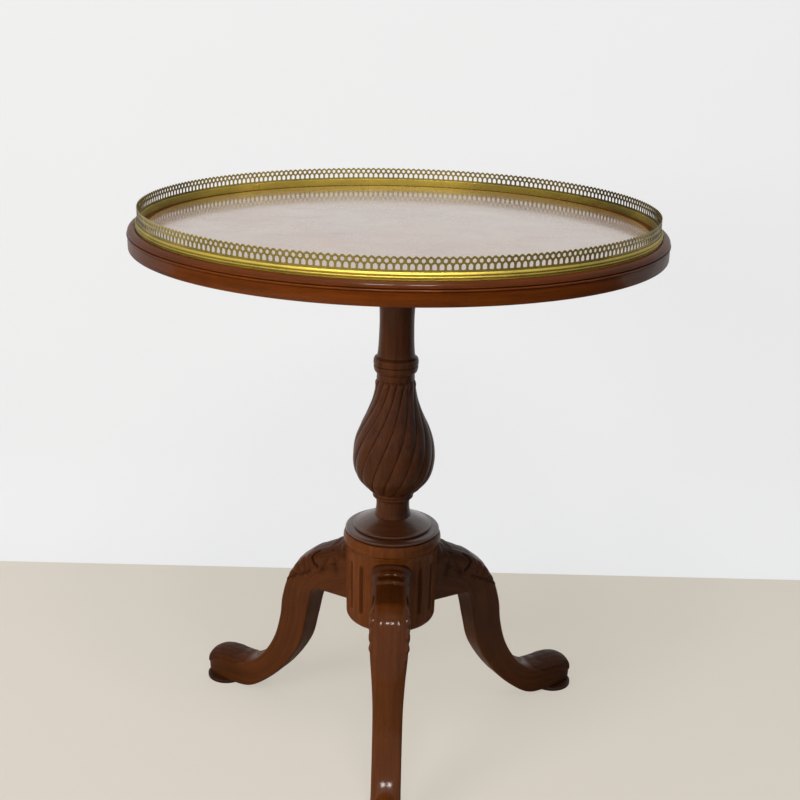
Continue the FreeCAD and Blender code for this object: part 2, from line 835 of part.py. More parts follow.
def build():
    os.makedirs("parts", exist_ok=True)
    one_leg = leg()
    for name, angle in LEG_ANGLES.items():
        save(name, [turn(one_leg, angle - 90)])
    save("hub_drum", [drum()])
    save("brace_plate", [brace()])
    save("brace_screws", brace_screws())
    save("collar", [collar()])
    save("column", [column()])
    save("column_wedge", [wedge(0.0)])
    save("top_block", [block()])
    save("top_block_screws", block_screws())
    save("top_board", [board()])
    save("top_veneer", [veneer()])
    save("edge_moulding", [moulding()])
    save("gallery_channel", [channel()])
    save("gallery_studs", studs(0.0))
    save("gallery_rivets", rivets(0.0))
    ends = [round(angle / pitch_angle) for angle in seam_angles]
    ends.append(ends[0] + opening_count)
    for name, first, last in zip(("back", "left", "right"), ends, ends[1:]):
        save("gallery_fret_" + name, [fret(first, last)])


build()
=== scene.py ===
"""Tray top tea table: a small add-on that makes its pieces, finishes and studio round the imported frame."""
import math

import bmesh
import bpy
from bpy.props import FloatProperty, FloatVectorProperty, IntProperty, PointerProperty
from mathutils import Matrix, Vector


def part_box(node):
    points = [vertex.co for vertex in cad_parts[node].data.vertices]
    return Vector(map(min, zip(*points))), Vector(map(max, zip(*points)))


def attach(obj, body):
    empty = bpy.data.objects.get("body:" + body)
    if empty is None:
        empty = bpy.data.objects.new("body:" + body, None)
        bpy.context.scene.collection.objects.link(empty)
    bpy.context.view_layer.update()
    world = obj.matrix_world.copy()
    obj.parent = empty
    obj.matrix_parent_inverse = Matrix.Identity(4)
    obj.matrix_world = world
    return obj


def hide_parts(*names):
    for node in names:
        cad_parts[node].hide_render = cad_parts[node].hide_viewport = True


bl_info = {
    "name": "Tray Top Tea Table",
    "version": (1, 0, 0),
    "blender": (4, 5, 0),
    "location": "3D View > Sidebar > Tea Table",
    "description": "Builds a round tripod tea table with a pierced brass gallery",
    "category": "Object",
}

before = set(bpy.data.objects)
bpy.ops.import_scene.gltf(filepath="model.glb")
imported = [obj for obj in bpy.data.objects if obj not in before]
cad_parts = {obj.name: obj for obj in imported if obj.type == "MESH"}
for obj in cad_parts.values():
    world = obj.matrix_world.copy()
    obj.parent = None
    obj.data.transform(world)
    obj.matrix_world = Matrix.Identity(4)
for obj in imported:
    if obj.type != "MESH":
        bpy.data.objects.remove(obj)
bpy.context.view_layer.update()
MM = 0.001
FULL_TURN = 2 * math.pi


def heights(node):
    """Lowest and highest point of a node of the frame, in millimetres."""
    low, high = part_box(node)
    return low[2] / MM, high[2] / MM


DRUM_BOTTOM, DRUM_TOP = heights("hub_drum")
COLLAR_TOP = heights("collar")[1]
COLUMN_LOW, COLUMN_HIGH = heights("column")
BLOCK_BOTTOM = heights("top_block")[0]
MOULDING_LOW, MOULDING_TOP = heights("edge_moulding")
TABLE_SURFACE = heights("top_veneer")[1]
CHANNEL_TOP = heights("gallery_channel")[1]
FRET_LOW, GALLERY_TOP = heights("gallery_fret_back")
EDGE_STEPS = 288
EDGE_GRAIN_RADIUS = 0.3
LEG_ANGLES = {"leg_front": -90.0, "leg_back_right": 30.0, "leg_back_left": 150.0}
PAD_REACH = 262.0
PAD_RADIUS = 27.0
PAD_STEPS = 64

# the gallery: first and last opening of each length of strip, the channel's seam in degrees and its gap, heights
# over the top, and the gap between lengths of strip in metres
FRET_LENGTHS = {"gallery_fret_back": (23, 105), "gallery_fret_left": (105, 194), "gallery_fret_right": (194, 293)}
GALLERY_RADIUS = 293.2
CHANNEL_SEAM = 129.4
CHANNEL_GAP = 0.4
CHANNEL_STEPS = 287
HOLE_HEIGHT = 18.6
SILL_HEIGHT = 10.2
FRET_GAP = 0.00004

# the column: its vase over the reeds as a run of a profile, and its two scribed grooves, in heights over the collar
VASE = (5, (25.6, 31), (31.8, 36), (38.3, 42.4), (43.8, 49.5), (47.6, 58.2), (49.6, 69), (50.0, 79), (48.7, 91),
        (46.0, 102.5), (41.4, 115), (35.8, 126.8), (30.8, 139), (27.1, 149.8), (24.7, 162), (23.3, 174))
COLUMN_GROOVES = (27.3, 191.9)
TENON_RADIUS = 16
STEPS_PER_REED = 14

# the drum: its radii, and its flutes' angles in degrees and heights over its foot; the collar's band over the drum
DRUM_RADIUS = 56
DRUM_CORE_RADIUS = 40
FLUTE_PITCH = 20
FLUTE_LOW, FLUTE_HIGH = 19.5, 86
FLUTE_CLEAR_OF_LEG = 35
STEPS_PER_FLUTE = 20
COLLAR_BAND = 14.2
COLLAR_STEPS = 192


# ---- Sizes and colours that a user may change ----

def length_field(name, description, default):
    return FloatProperty(name=name, description=description, default=default, unit="LENGTH")


def colour_field(name, description, default):
    return FloatVectorProperty(name=name, description=description, default=default, subtype="COLOR")


class TeaTableShape(bpy.types.PropertyGroup):
    """Sizes of the turned, reeded, carved and pierced work."""
    reed_count: IntProperty(name="Reeds", description="Spiral reeds round the vase", default=16, min=8)
    reed_depth: length_field("Reed depth", "Depth of the valleys between the reeds", 0.0018)
    reed_twist: FloatProperty(name="Reed twist", description="Turn of a reed from the vase's foot to its neck",
                              default=math.radians(75), subtype="ANGLE")
    flute_radius: length_field("Flute radius", "Radius of the gouge that cuts a flute", 0.0036)
    flute_depth: length_field("Flute depth", "Depth of a flute in the drum", 0.0022)
    carving_depth: length_field("Carving depth", "Height of the leaves on the knees and feet", 0.0017)
    opening_count: IntProperty(name="Openings", description="Openings round the gallery", default=270, min=90)
    hole_radius: length_field("Hole radius", "Radius of the gallery's round holes", 0.0020)
    slot_width: length_field("Slot width", "Width of the gallery's pointed slots", 0.0045)
    strip_thickness: length_field("Strip thickness", "Thickness of the pierced strip", 0.0008)


class TeaTableColours(bpy.types.PropertyGroup):
    """Colours of the finishes."""
    edge_light: colour_field("Edge, light", "Lighter streaks of the moulded edge", (0.170, 0.036, 0.002))
    edge_dark: colour_field("Edge, dark", "Darker streaks of the moulded edge", (0.055, 0.013, 0.001))
    drum_light: colour_field("Drum, light", "Lighter streaks of the drum", (0.190, 0.054, 0.010))
    drum_dark: colour_field("Drum, dark", "Darker streaks of the drum", (0.068, 0.017, 0.004))
    leg_light: colour_field("Legs, light", "Lighter streaks of the legs", (0.118, 0.031, 0.004))
    leg_dark: colour_field("Legs, dark", "Darker streaks of the legs", (0.054, 0.014, 0.002))
    column_light: colour_field("Column, light", "Lighter streaks of column and collar", (0.105, 0.033, 0.011))
    column_dark: colour_field("Column, dark", "Darker streaks of column and collar", (0.036, 0.011, 0.004))
    top_light: colour_field("Top, light", "Lighter figure of the polished top", (0.320, 0.150, 0.058))
    top_dark: colour_field("Top, dark", "Darker figure of the polished top", (0.185, 0.080, 0.029))
    brass_bright: colour_field("Brass, bright", "Rubbed brass", (0.740, 0.570, 0.105))
    brass_toned: colour_field("Brass, toned", "Brass that has darkened", (0.580, 0.450, 0.130))
    # the dull colour is that of tarnish, and is also painted as shade on the brass towards the table's left and
    # right sides
    brass_dull: colour_field("Brass, dull", "Olive brown of the tarnished strip", (0.105, 0.082, 0.028))
    core_wood: colour_field("Core wood", "Unpolished wood under the top", (0.300, 0.170, 0.085))
    floor: colour_field("Floor", "Studio floor", (0.840, 0.780, 0.690))
    backdrop: colour_field("Backdrop", "Studio backdrop", (0.930, 0.935, 0.940))


# ---- Lines and surfaces ----

def arc_points(centre, radii, start, end, count):
    """Points of an elliptical arc of a profile, from start to end in degrees."""
    points = []
    for index in range(count + 1):
        angle = math.radians(start + (end - start) * index / count)
        points.append((centre[0] + radii[0] * math.cos(angle), centre[1] + radii[1] * math.sin(angle)))
    return points


def between(knots, position):
    """Smooth value between rows of numbers, where the first number of each row is its position."""
    index = 1
    while index < len(knots) - 1 and position > knots[index][0]:
        index += 1
    start, end = knots[index - 1], knots[index]
    before = knots[max(index - 2, 0)]
    after = knots[min(index + 1, len(knots) - 1)]
    span = end[0] - start[0]
    share = min(1.0, max(0.0, (position - start[0]) / span))
    values = []
    for low, a, b, high in zip(before[1:], start[1:], end[1:], after[1:]):
        slope_a = (b - low) / max(end[0] - before[0], 1e-9) * span
        slope_b = (high - a) / max(after[0] - start[0], 1e-9) * span
        cube, square = share ** 3, share ** 2
        values.append((2 * cube - 3 * square + 1) * a + (cube - 2 * square + share) * slope_a
                      + (3 * square - 2 * cube) * b + (cube - square) * slope_b)
    return values


def smooth_line(points, per_span):
    """Smooth profile through the given points."""
    knots = [(float(index), *point) for index, point in enumerate(points)]
    count = (len(points) - 1) * per_span
    return [tuple(between(knots, index / per_span)) for index in range(count + 1)]


def smooth_step(low, high, value):
    share = min(1.0, max(0.0, (value - low) / (high - low)))
    return share * share * (3 - 2 * share)


def zone(start, full, fade, end, value):
    """1 between full and fade, and smoothly 0 before start and past end."""
    return smooth_step(start, full, value) * (1 - smooth_step(fade, end, value))


def waves(value, length, power):
    """Row of round waves from 0 to 1, of which the power makes the tops broader and the valleys sharper."""
    return abs(math.sin(math.pi * value / length)) ** power


def bump(centre, half_width, value):
    """Rounded bump of height 1."""
    offset = abs(value - centre) / half_width
    return (1 - offset * offset) ** 2 if offset < 1 else 0.0


def raised(base, points):
    """Points of a profile whose heights are counted from a base."""
    return [(radius, base + rise) for radius, rise in points]


def profile(base, runs):
    """Runs of a profile over a base: each is its steps from point to point, where 1 is straight, and its points."""
    outline = []
    for per_span, *points in runs:
        places = raised(base, points)
        outline += smooth_line(places, per_span) if per_span > 1 else places
    return outline


def drawn_line(shape, places, closed=False):
    """Draw a line through places in a bmesh; gives its vertices, and its edges."""
    points = [shape.verts.new(place) for place in places]
    following = points[1:] + points[:1] if closed else points[1:]
    return points, [shape.edges.new(pair) for pair in zip(points, following)]


def face_outward(shape):
    bmesh.ops.recalc_face_normals(shape, faces=shape.faces)


def spin_line(shape, outline, steps, closed=False, angle=FULL_TURN, reach=0.0):
    """Turn an outline of (radius, height) in millimetres round an upright axis at a reach along X."""
    places = [((reach + radius) * MM, 0, height * MM) for radius, height in outline]
    points, edges = drawn_line(shape, places, closed)
    bmesh.ops.spin(shape, geom=points + edges, cent=(reach * MM, 0, 0), axis=(0, 0, 1), angle=angle, steps=steps,
                   use_merge=angle == FULL_TURN)


def turned(outline, steps, closed=False):
    """A closed turning round the table's axis."""
    shape = bmesh.new()
    spin_line(shape, outline, steps, closed)
    bmesh.ops.remove_doubles(shape, verts=shape.verts, dist=1e-7)
    face_outward(shape)
    return shape


def turn_whole(shape, angle):
    bmesh.ops.rotate(shape, verts=shape.verts, cent=(0, 0, 0), matrix=Matrix.Rotation(angle, 3, "Z"))


def polar(point):
    """Radius and height of a vertex in millimetres, and its angle round the table's axis."""
    radius = math.hypot(point.co.x, point.co.y) / MM
    return radius, point.co.z / MM, math.atan2(point.co.y, point.co.x) % FULL_TURN


def set_polar(point, radius, angle):
    point.co.x = radius * math.cos(angle) * MM
    point.co.y = radius * math.sin(angle) * MM


def round_the_edge(point):
    """Place of a point on the bent edge: round the table, and across the moulding."""
    return math.atan2(point[0], -point[1]) * EDGE_GRAIN_RADIUS, math.hypot(point[0], point[1]) - point[2]


def grain_round_the_edge(shape):
    """A UV map in metres, with the grain round the table; the seam is kept whole."""
    layer = shape.loops.layers.uv.new("grain")
    whole = FULL_TURN * EDGE_GRAIN_RADIUS
    for face in shape.faces:
        middle = round_the_edge(face.calc_center_median())[0]
        for loop in face.loops:
            along, across = round_the_edge(loop.vert.co)
            loop[layer].uv = (along - whole * round((along - middle) / whole), across)


def placed_object(name, data):
    made = bpy.data.objects.new(name, data)
    bpy.context.scene.collection.objects.link(made)
    return made


def smooth_object(name, shape, finishes):
    """Turn a bmesh into an object of the scene."""
    mesh = bpy.data.meshes.new(name)
    shape.to_mesh(mesh)
    shape.free()
    mesh.shade_smooth()
    for finish in finishes:
        mesh.materials.append(finish)
    return placed_object(name, mesh)


def finished_piece(name, shape, finishes, replaced, sharp_angle):
    """Turn a bmesh into a shown piece of the table that stands for the CAD nodes that it replaces."""
    piece = smooth_object(name, shape, [finish_named(finish) for finish in finishes])
    piece.data.set_sharp_from_angle(angle=math.radians(sharp_angle))
    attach(piece, "root")
    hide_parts(*replaced)
    return piece


def dress(node, finish):
    """Give a CAD node its finish."""
    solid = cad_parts[node]
    solid.data.materials.clear()
    solid.data.materials.append(finish_named(finish))


# ---- Shader nodes ----

def add_node(tree, kind, inputs=None, **settings):
    """Add a node; an input is a value or another node's output."""
    node = tree.nodes.new(kind)
    for key, value in settings.items():
        setattr(node, key, value)
    for key, value in (inputs or {}).items():
        if isinstance(value, bpy.types.NodeSocket):
            tree.links.new(value, node.inputs[key])
        else:
            node.inputs[key].default_value = value
    return node


def maths(tree, operation, first, second):
    return add_node(tree, "ShaderNodeMath", {0: first, 1: second}, operation=operation).outputs[0]


def plus(tree, first, second):
    return maths(tree, "ADD", first, second)


def times(tree, first, second):
    return maths(tree, "MULTIPLY", first, second)


def rgba(colour, factor=1.0):
    """A colour with its alpha, made lighter or darker by a factor."""
    return (*[channel * factor for channel in colour[:3]], 1.0)


def colour_mix(tree, factor, first, second, blend="MIX"):
    """Mix of two colours, each given as numbers or as another node's output."""
    first, second = (value if isinstance(value, bpy.types.NodeSocket) else rgba(value) for value in (first, second))
    return add_node(tree, "ShaderNodeMix", {0: factor, 6: first, 7: second},
                    data_type="RGBA", blend_type=blend).outputs[2]


def value_range(tree, value, low, high, to_low=0.0, to_high=1.0):
    return add_node(tree, "ShaderNodeMapRange", {
        "Value": value, "From Min": low, "From Max": high, "To Min": to_low, "To Max": to_high}).outputs[0]


def spread(tree, share, low, high):
    """Value between low and high for a share from 0 to 1."""
    return value_range(tree, share, 0.0, 1.0, low, high)


def stretched_noise(tree, vector, scale, detail=3.0, roughness=0.55, distortion=0.0):
    """Noise on a vector that is scaled apart along, across and through the grain."""
    scaled = add_node(tree, "ShaderNodeVectorMath", {0: vector, 1: scale}, operation="MULTIPLY").outputs[0]
    return add_node(tree, "ShaderNodeTexNoise", {
        "Vector": scaled, "Scale": 1.0, "Detail": detail, "Roughness": roughness,
        "Distortion": distortion}).outputs[0]


def centred(tree, noise, factor):
    """Noise moved to lie round zero, and scaled."""
    return times(tree, maths(tree, "SUBTRACT", noise, 0.5), factor)


def object_place(tree):
    return add_node(tree, "ShaderNodeTexCoord").outputs["Object"]


def bumped(tree, height, strength, distance):
    return add_node(tree, "ShaderNodeBump", {
        "Height": height, "Strength": strength, "Distance": distance}).outputs[0]


def mahogany_grain(group, given):
    """Streaks, broad figure and fine pores of mahogany, with the grain along X."""
    vector = given["Vector"]
    streaks = stretched_noise(group, vector, (9, 170, 170), 5, 0.6, 0.3)
    broad = stretched_noise(group, vector, (7, 22, 22), 3, 0.55, 1.2)
    fine = stretched_noise(group, vector, (40, 900, 900), 2, 0.5)
    pores = value_range(group, stretched_noise(group, vector, (150, 2300, 2300), 1, 0.5), 0.60, 0.68)
    figure = centred(group, broad, times(group, given["Figure"], 2.4))
    thread = centred(group, fine, 0.6)
    share = plus(group, plus(group, figure, centred(group, streaks, 1.5)), plus(group, thread, 0.5))
    share = add_node(group, "ShaderNodeClamp", {"Value": share}).outputs[0]
    wood = colour_mix(group, share, given["Dark"], given["Light"])
    filled = times(group, pores, given["Pores"])
    wood = colour_mix(group, filled, wood, colour_mix(group, 0.3, (0.008, 0.004, 0.002), given["Dark"]))
    return {"Color": wood, "Height": maths(group, "SUBTRACT", times(group, thread, 0.4), filled)}


def wear_wax_and_shade(group, given):
    """Masks of rubbed edges, of dark wax and dust with painted shade in the hollows and on other places that the
    pieces mark, and of smears in the polish.
    """
    pointed = add_node(group, "ShaderNodeNewGeometry").outputs["Pointiness"]
    hollow = add_node(group, "ShaderNodeAttribute", attribute_name="hollow").outputs["Fac"]
    patches = value_range(group, stretched_noise(group, given["Vector"], (38, 38, 38), 4, 0.65), 0.42, 0.66)
    edge = value_range(group, pointed, 0.515, 0.57)
    # painted shade with some wax: concave places and the places that the pieces mark are darkened
    recess_shade = maths(group, "MAXIMUM", times(group, value_range(group, pointed, 0.488, 0.43), 0.7), hollow)
    smears = stretched_noise(group, given["Vector"], (14, 14, 14), 5, 0.6, 0.8)
    return {"Rubbed": times(group, times(group, edge, given["Wear"]), patches),
            "Waxed": times(group, recess_shade, given["Wax"]), "Smears": value_range(group, smears, 0.3, 0.72)}


def toned_and_shaded_brass(group, given):
    """Brass that has darkened in patches and in corners, with painted shade on the table's left and right sides,
    where the brass mirrors less light.
    """
    vector = given["Vector"]
    clouds = stretched_noise(group, vector, (11, 11, 40), 4, 0.6, 0.6)
    spots = value_range(group, stretched_noise(group, vector, (420, 420, 420), 2, 0.5), 0.6, 0.72)
    pointed = add_node(group, "ShaderNodeNewGeometry").outputs["Pointiness"]
    corner = value_range(group, pointed, 0.49, 0.42)
    place = add_node(group, "ShaderNodeSeparateXYZ", {0: vector}).outputs["X"]
    # painted shade: the brass is toned darker towards the table's left and right sides, the right side from nearer
    # the middle
    sides = maths(group, "MAXIMUM", value_range(group, place, 0.06, 0.26), value_range(group, place, -0.2, -0.29))
    share = plus(group, value_range(group, clouds, 0.36, 0.72), times(group, corner, 0.8))
    share = times(group, plus(group, share, times(group, sides, 1.6)), given["Tarnish"])
    share = add_node(group, "ShaderNodeClamp", {"Value": plus(group, share, times(group, spots, 0.25))}).outputs[0]
    return {"Color": colour_mix(group, share, given["Bright"], given["Toned"]), "Tarnished": share,
            "Height": stretched_noise(group, vector, (900, 900, 900), 2, 0.5)}


# what fills each shared group, and its inputs: None stands for a vector, four numbers for a colour
GROUPS = {
    "Mahogany grain": (mahogany_grain, {"Vector": None, "Light": (0.15, 0.04, 0.01, 1),
                                        "Dark": (0.05, 0.01, 0.004, 1), "Figure": 0.5, "Pores": 0.4}),
    "Wear and wax": (wear_wax_and_shade, {"Vector": None, "Wear": 0.5, "Wax": 0.6}),
    "Toned brass": (toned_and_shaded_brass, {"Vector": None, "Bright": (0.64, 0.5, 0.11, 1),
                                  "Toned": (0.2, 0.16, 0.05, 1), "Tarnish": 0.4}),
}


def from_group(tree, name, inputs):
    """Outputs of a shared node group that is used in a tree, and made the first time it is asked for."""
    group = bpy.data.node_groups.get(name)
    if group is None:
        group = bpy.data.node_groups.new(name, "ShaderNodeTree")
        fill, defaults = GROUPS[name]
        for title, default in defaults.items():
            kind = "Vector" if default is None else "Color" if isinstance(default, tuple) else "Float"
            socket = group.interface.new_socket(title, in_out="INPUT", socket_type="NodeSocket" + kind)
            if default is not None:
                socket.default_value = default
        outputs = fill(group, group.nodes.new("NodeGroupInput").outputs)
        for title in outputs:
            kind = "Color" if title == "Color" else "Float"
            group.interface.new_socket(title, in_out="OUTPUT", socket_type="NodeSocket" + kind)
        add_node(group, "NodeGroupOutput", outputs)
    return add_node(tree, "ShaderNodeGroup", inputs, node_tree=group).outputs


# ---- Finishes ----

def new_finish(name):
    finish = bpy.data.materials.new(name)
    finish.use_nodes = True
    finish.node_tree.nodes.clear()
    return finish, finish.node_tree


def end_finish(tree, inputs):
    """End a finish's nodes with its surface."""
    shader = add_node(tree, "ShaderNodeBsdfPrincipled", inputs)
    add_node(tree, "ShaderNodeOutputMaterial", {"Surface": shader.outputs[0]})


def grain_vector(tree, uv_name, turn, offset):
    """The piece's own grain map, or its object coordinates turned so that the grain lies along X."""
    source = add_node(tree, "ShaderNodeUVMap", uv_map=uv_name).outputs[0] if uv_name else object_place(tree)
    return add_node(tree, "ShaderNodeMapping", {"Vector": source, "Rotation": turn, "Location": offset}).outputs[0]


def wood_nodes(tree, vector, light, dark, figure, pores, wear, wax):
    """Grain of a wood, and masks of its wear and wax."""
    grain = from_group(tree, "Mahogany grain", {
        "Vector": vector, "Light": rgba(light), "Dark": rgba(dark), "Figure": figure, "Pores": pores})
    return grain, from_group(tree, "Wear and wax", {"Vector": object_place(tree), "Wear": wear, "Wax": wax})


def polished_wood(name, light, dark, uv_name=None, turn=(0, 0, 0), offset=(0, 0, 0), figure=0.3, pores=0.4,
                  wear=0.4, wax=0.8, roughness=(0.3, 0.5), coat=0.22, coat_roughness=0.14, coat_ior=1.5,
                  gloss=0.25, bump_height=0.00015):
    """French polished mahogany with rubbed edges, and dark wax with painted shade in the hollows and on marked
    places.
    """
    finish, tree = new_finish(name)
    vector = grain_vector(tree, uv_name, turn, offset)
    grain, masks = wood_nodes(tree, vector, light, dark, figure, pores, wear, wax)
    worn = colour_mix(tree, masks["Rubbed"], grain["Color"], rgba(light, 2.2))
    # the mask of wax and painted shade thins the coat and darkens the base colour towards the dark colour
    clean = maths(tree, "SUBTRACT", 1.0, times(tree, masks["Waxed"], 0.8))
    end_finish(tree, {
        "Base Color": colour_mix(tree, masks["Waxed"], worn, rgba(dark, 0.32)),
        "Roughness": plus(tree, spread(tree, masks["Smears"], *roughness), times(tree, masks["Waxed"], 0.25)),
        "Normal": bumped(tree, grain["Height"], 0.6, bump_height),
        "Coat Weight": times(tree, clean, coat), "Coat Roughness": coat_roughness, "Coat IOR": coat_ior,
        "Specular IOR Level": gloss})
    return finish


def plain_wood(name, light, dark, turn=(0, 0, 0)):
    """Planed wood without polish."""
    finish, tree = new_finish(name)
    grain, masks = wood_nodes(tree, grain_vector(tree, None, turn, (0, 0, 0)), light, dark, 0.35, 0.7, 0.2, 0.8)
    end_finish(tree, {
        "Base Color": colour_mix(tree, times(tree, masks["Smears"], 0.35), grain["Color"], rgba(dark, 0.6)),
        "Roughness": spread(tree, masks["Smears"], 0.6, 0.82),
        "Normal": bumped(tree, grain["Height"], 0.8, 0.0003), "Specular IOR Level": 0.35})
    return finish


def brass(name, bright, dull, tarnish, roughness):
    """Lacquered brass, toned with age, with painted shade on the table's left and right sides."""
    finish, tree = new_finish(name)
    metal = from_group(tree, "Toned brass", {
        "Vector": object_place(tree), "Bright": rgba(bright), "Toned": rgba(dull), "Tarnish": tarnish})
    end_finish(tree, {
        "Base Color": metal["Color"], "Roughness": spread(tree, metal["Tarnished"], *roughness),
        "Normal": bumped(tree, metal["Height"], 0.25, 0.0001), "Metallic": 1.0})
    return finish


def plain_steel(name):
    """Zinc grey steel of the fixings, with a little rust."""
    finish, tree = new_finish(name)
    vector = object_place(tree)
    rust = value_range(tree, stretched_noise(tree, vector, (60, 60, 60), 4, 0.6, 0.4), 0.56, 0.72)
    scratches = stretched_noise(tree, vector, (300, 2400, 300), 2, 0.5)
    rough = value_range(tree, scratches, 0.3, 0.7, 0.32, 0.5)
    end_finish(tree, {
        "Base Color": colour_mix(tree, rust, (0.34, 0.33, 0.31), (0.16, 0.075, 0.035)),
        "Roughness": plus(tree, rough, times(tree, rust, 0.35)),
        "Normal": bumped(tree, scratches, 0.3, 0.0001),
        "Metallic": spread(tree, rust, 1.0, 0.2)})
    return finish


UPRIGHT = (0, math.pi / 2, 0)
# the colours that each polish takes, and what it does in its own way
POLISHES = {
    "Edge mahogany": ("edge", {"uv_name": "grain", "figure": 0.35, "wear": 0.6, "wax": 0.5, "coat": 0.32,
                               "coat_roughness": 0.12, "gloss": 0.03}),
    "Drum mahogany": ("drum", {"turn": UPRIGHT, "wax": 0.85, "coat_roughness": 0.18, "gloss": 0.03}),
    "Turned mahogany": ("column", {"turn": UPRIGHT, "figure": 0.35, "coat_roughness": 0.2, "gloss": 0.04}),
    "Collar mahogany": ("column", {"offset": (0.4, 0, 0), "wear": 0.5, "coat": 0.6, "coat_roughness": 0.22,
                                   "gloss": 0.3}),
    "Carved mahogany": ("leg", {"uv_name": "grain", "figure": 0.25, "wax": 1.0, "coat": 0.34,
                                "coat_roughness": 0.12, "gloss": 0.03, "bump_height": 0.00004}),
    "Polished top": ("top", {"figure": 0.45, "pores": 0.35, "wear": 0.0, "wax": 0.0, "roughness": (0.2, 0.34),
                             "coat": 1.0, "coat_roughness": 0.11, "coat_ior": 1.7, "gloss": 0.5,
                             "bump_height": 0.000003}),
}


def finish_named(name):
    """The finish with this name, made the first time it is asked for."""
    made = bpy.data.materials.get(name)
    if made:
        return made
    colours = bpy.context.scene.tea_table_colours
    if name in POLISHES:
        stem, settings = POLISHES[name]
        return polished_wood(name, getattr(colours, stem + "_light"), getattr(colours, stem + "_dark"), **settings)
    # painted shade: the pads under the feet take the legs' dark colour made darker still
    if name == "Pad mahogany":
        return polished_wood(name, rgba(colours.leg_dark, 0.6), rgba(colours.leg_dark, 0.25), wear=0.2,
                             coat=0.1, roughness=(0.5, 0.7))
    if name == "Bright brass":
        return brass(name, colours.brass_bright, colours.brass_dull, 0.35, (0.52, 0.6))
    if name == "Pierced brass":
        return brass(name, colours.brass_toned, colours.brass_dull, 0.5, (0.3, 0.45))
    if name == "Plain steel":
        return plain_steel(name)
    if name == "Wedge wood":
        return plain_wood(name, rgba(colours.core_wood, 1.3), rgba(colours.core_wood, 0.8), turn=UPRIGHT)
    return plain_wood(name, colours.core_wood, rgba(colours.core_wood, 0.45))


# ---- Top, gallery ----

class TEATABLE_OT_top(bpy.types.Operator):
    """Dress the polished top, the board under it and the block that joins it to the column"""
    bl_idname = "tea_table.top"
    bl_label = "Top and block"

    def execute(self, context):
        for node, finish in (("top_veneer", "Polished top"), ("top_board", "Board wood"),
                             ("top_block", "Board wood"), ("column_wedge", "Wedge wood")):
            dress(node, finish)
        return {"FINISHED"}


def moulding_outline():
    """Closed profile of the edge: plain band, bead, groove and an ovolo up to the lip round the gallery."""
    low, surface, lip = MOULDING_LOW, TABLE_SURFACE, MOULDING_TOP
    outline = [(284, surface), (284, low)] + arc_points((303.2, low + 1.4), (1.4, 1.4), -90, 0, 4)
    outline += raised(low, [(304.65, 7), (304.6, 13.9), (304.2, 14.4)])
    outline += arc_points((304.2, low + 15.7), (1.3, 1.05), -70, 75, 8)
    outline += raised(low, [(303.6, 16.9), (303.0, 17.2), (303.5, 17.7)])
    outline += arc_points((297.3, low + 17.7), (7.5, lip - low - 17.7), 4, 88, 14)
    return outline + [(296.9, lip - 0.1), (296.7, lip - 0.4), (296.65, surface)]


class TEATABLE_OT_edge(bpy.types.Operator):
    """Make the moulded edge of the top"""
    bl_idname = "tea_table.edge"
    bl_label = "Edge moulding"

    def execute(self, context):
        shape = turned(moulding_outline(), EDGE_STEPS, closed=True)
        grain_round_the_edge(shape)
        hollow = shape.verts.layers.float.new("hollow")
        # painted shade, kept in the shade-and-wax mark: the upper part of the moulding with its ovolo, which faces
        # up, is darkened, and the whole edge darkens towards the table's left and right sides
        for point in shape.verts:
            ovolo_and_side_shade = 0.6 * smooth_step(16, 18, point.co.z / MM - MOULDING_LOW)
            point[hollow] = min(1.0, ovolo_and_side_shade + 0.9 * smooth_step(0.15, 0.29, abs(point.co.x)))
        finished_piece("moulded_edge", shape, ["Edge mahogany"], ["edge_moulding"], 30)
        return {"FINISHED"}


def channel_outline():
    """Closed profile of the brass channel: foot, two reeds, lip and the slot for the strip."""
    low = TABLE_SURFACE
    outline = raised(low, [(291.4, 0), (295.3, 0), (295.4, 0.4), (295.3, 0.9), (294.8, 1.2), (294.7, 1.9)])
    outline += arc_points((294.9, low + 3.2), (1.05, 1.2), -75, 75, 7)
    outline += arc_points((294.9, low + 6.0), (1.05, 1.2), -75, 62, 7)
    return outline + raised(CHANNEL_TOP, [
        (294.9, -0.6), (294.5, 0), (293.9, 0), (293.8, -0.3), (293.75, -2.6), (292.65, -2.6), (292.6, -0.3),
        (292.5, 0), (291.8, 0), (291.4, -0.35)])


def channel_shape():
    """The channel is bent from one length, whose ends meet in a fine seam."""
    gap = CHANNEL_GAP / GALLERY_RADIUS
    shape = bmesh.new()
    spin_line(shape, channel_outline(), CHANNEL_STEPS, closed=True, angle=FULL_TURN - gap)
    bmesh.ops.holes_fill(shape, edges=[edge for edge in shape.edges if edge.is_boundary], sides=0)
    turn_whole(shape, math.radians(CHANNEL_SEAM) + gap / 2)
    face_outward(shape)
    return shape


# half of the strip's top over an opening, as shares of its half width and drops; half of a slot, from its sill up
SCALLOP = [(1, 0), (0.8, 0.12), (0.6, 0.45), (0.4, 1.0), (0.2, 1.6), (0, 1.9)]
SLOT = [(0.5, 0), (0.86, 0.25), (1, 0.8), (1, 3.1), (0.9, 4.2), (0.6, 5.2), (0, 5.8)]


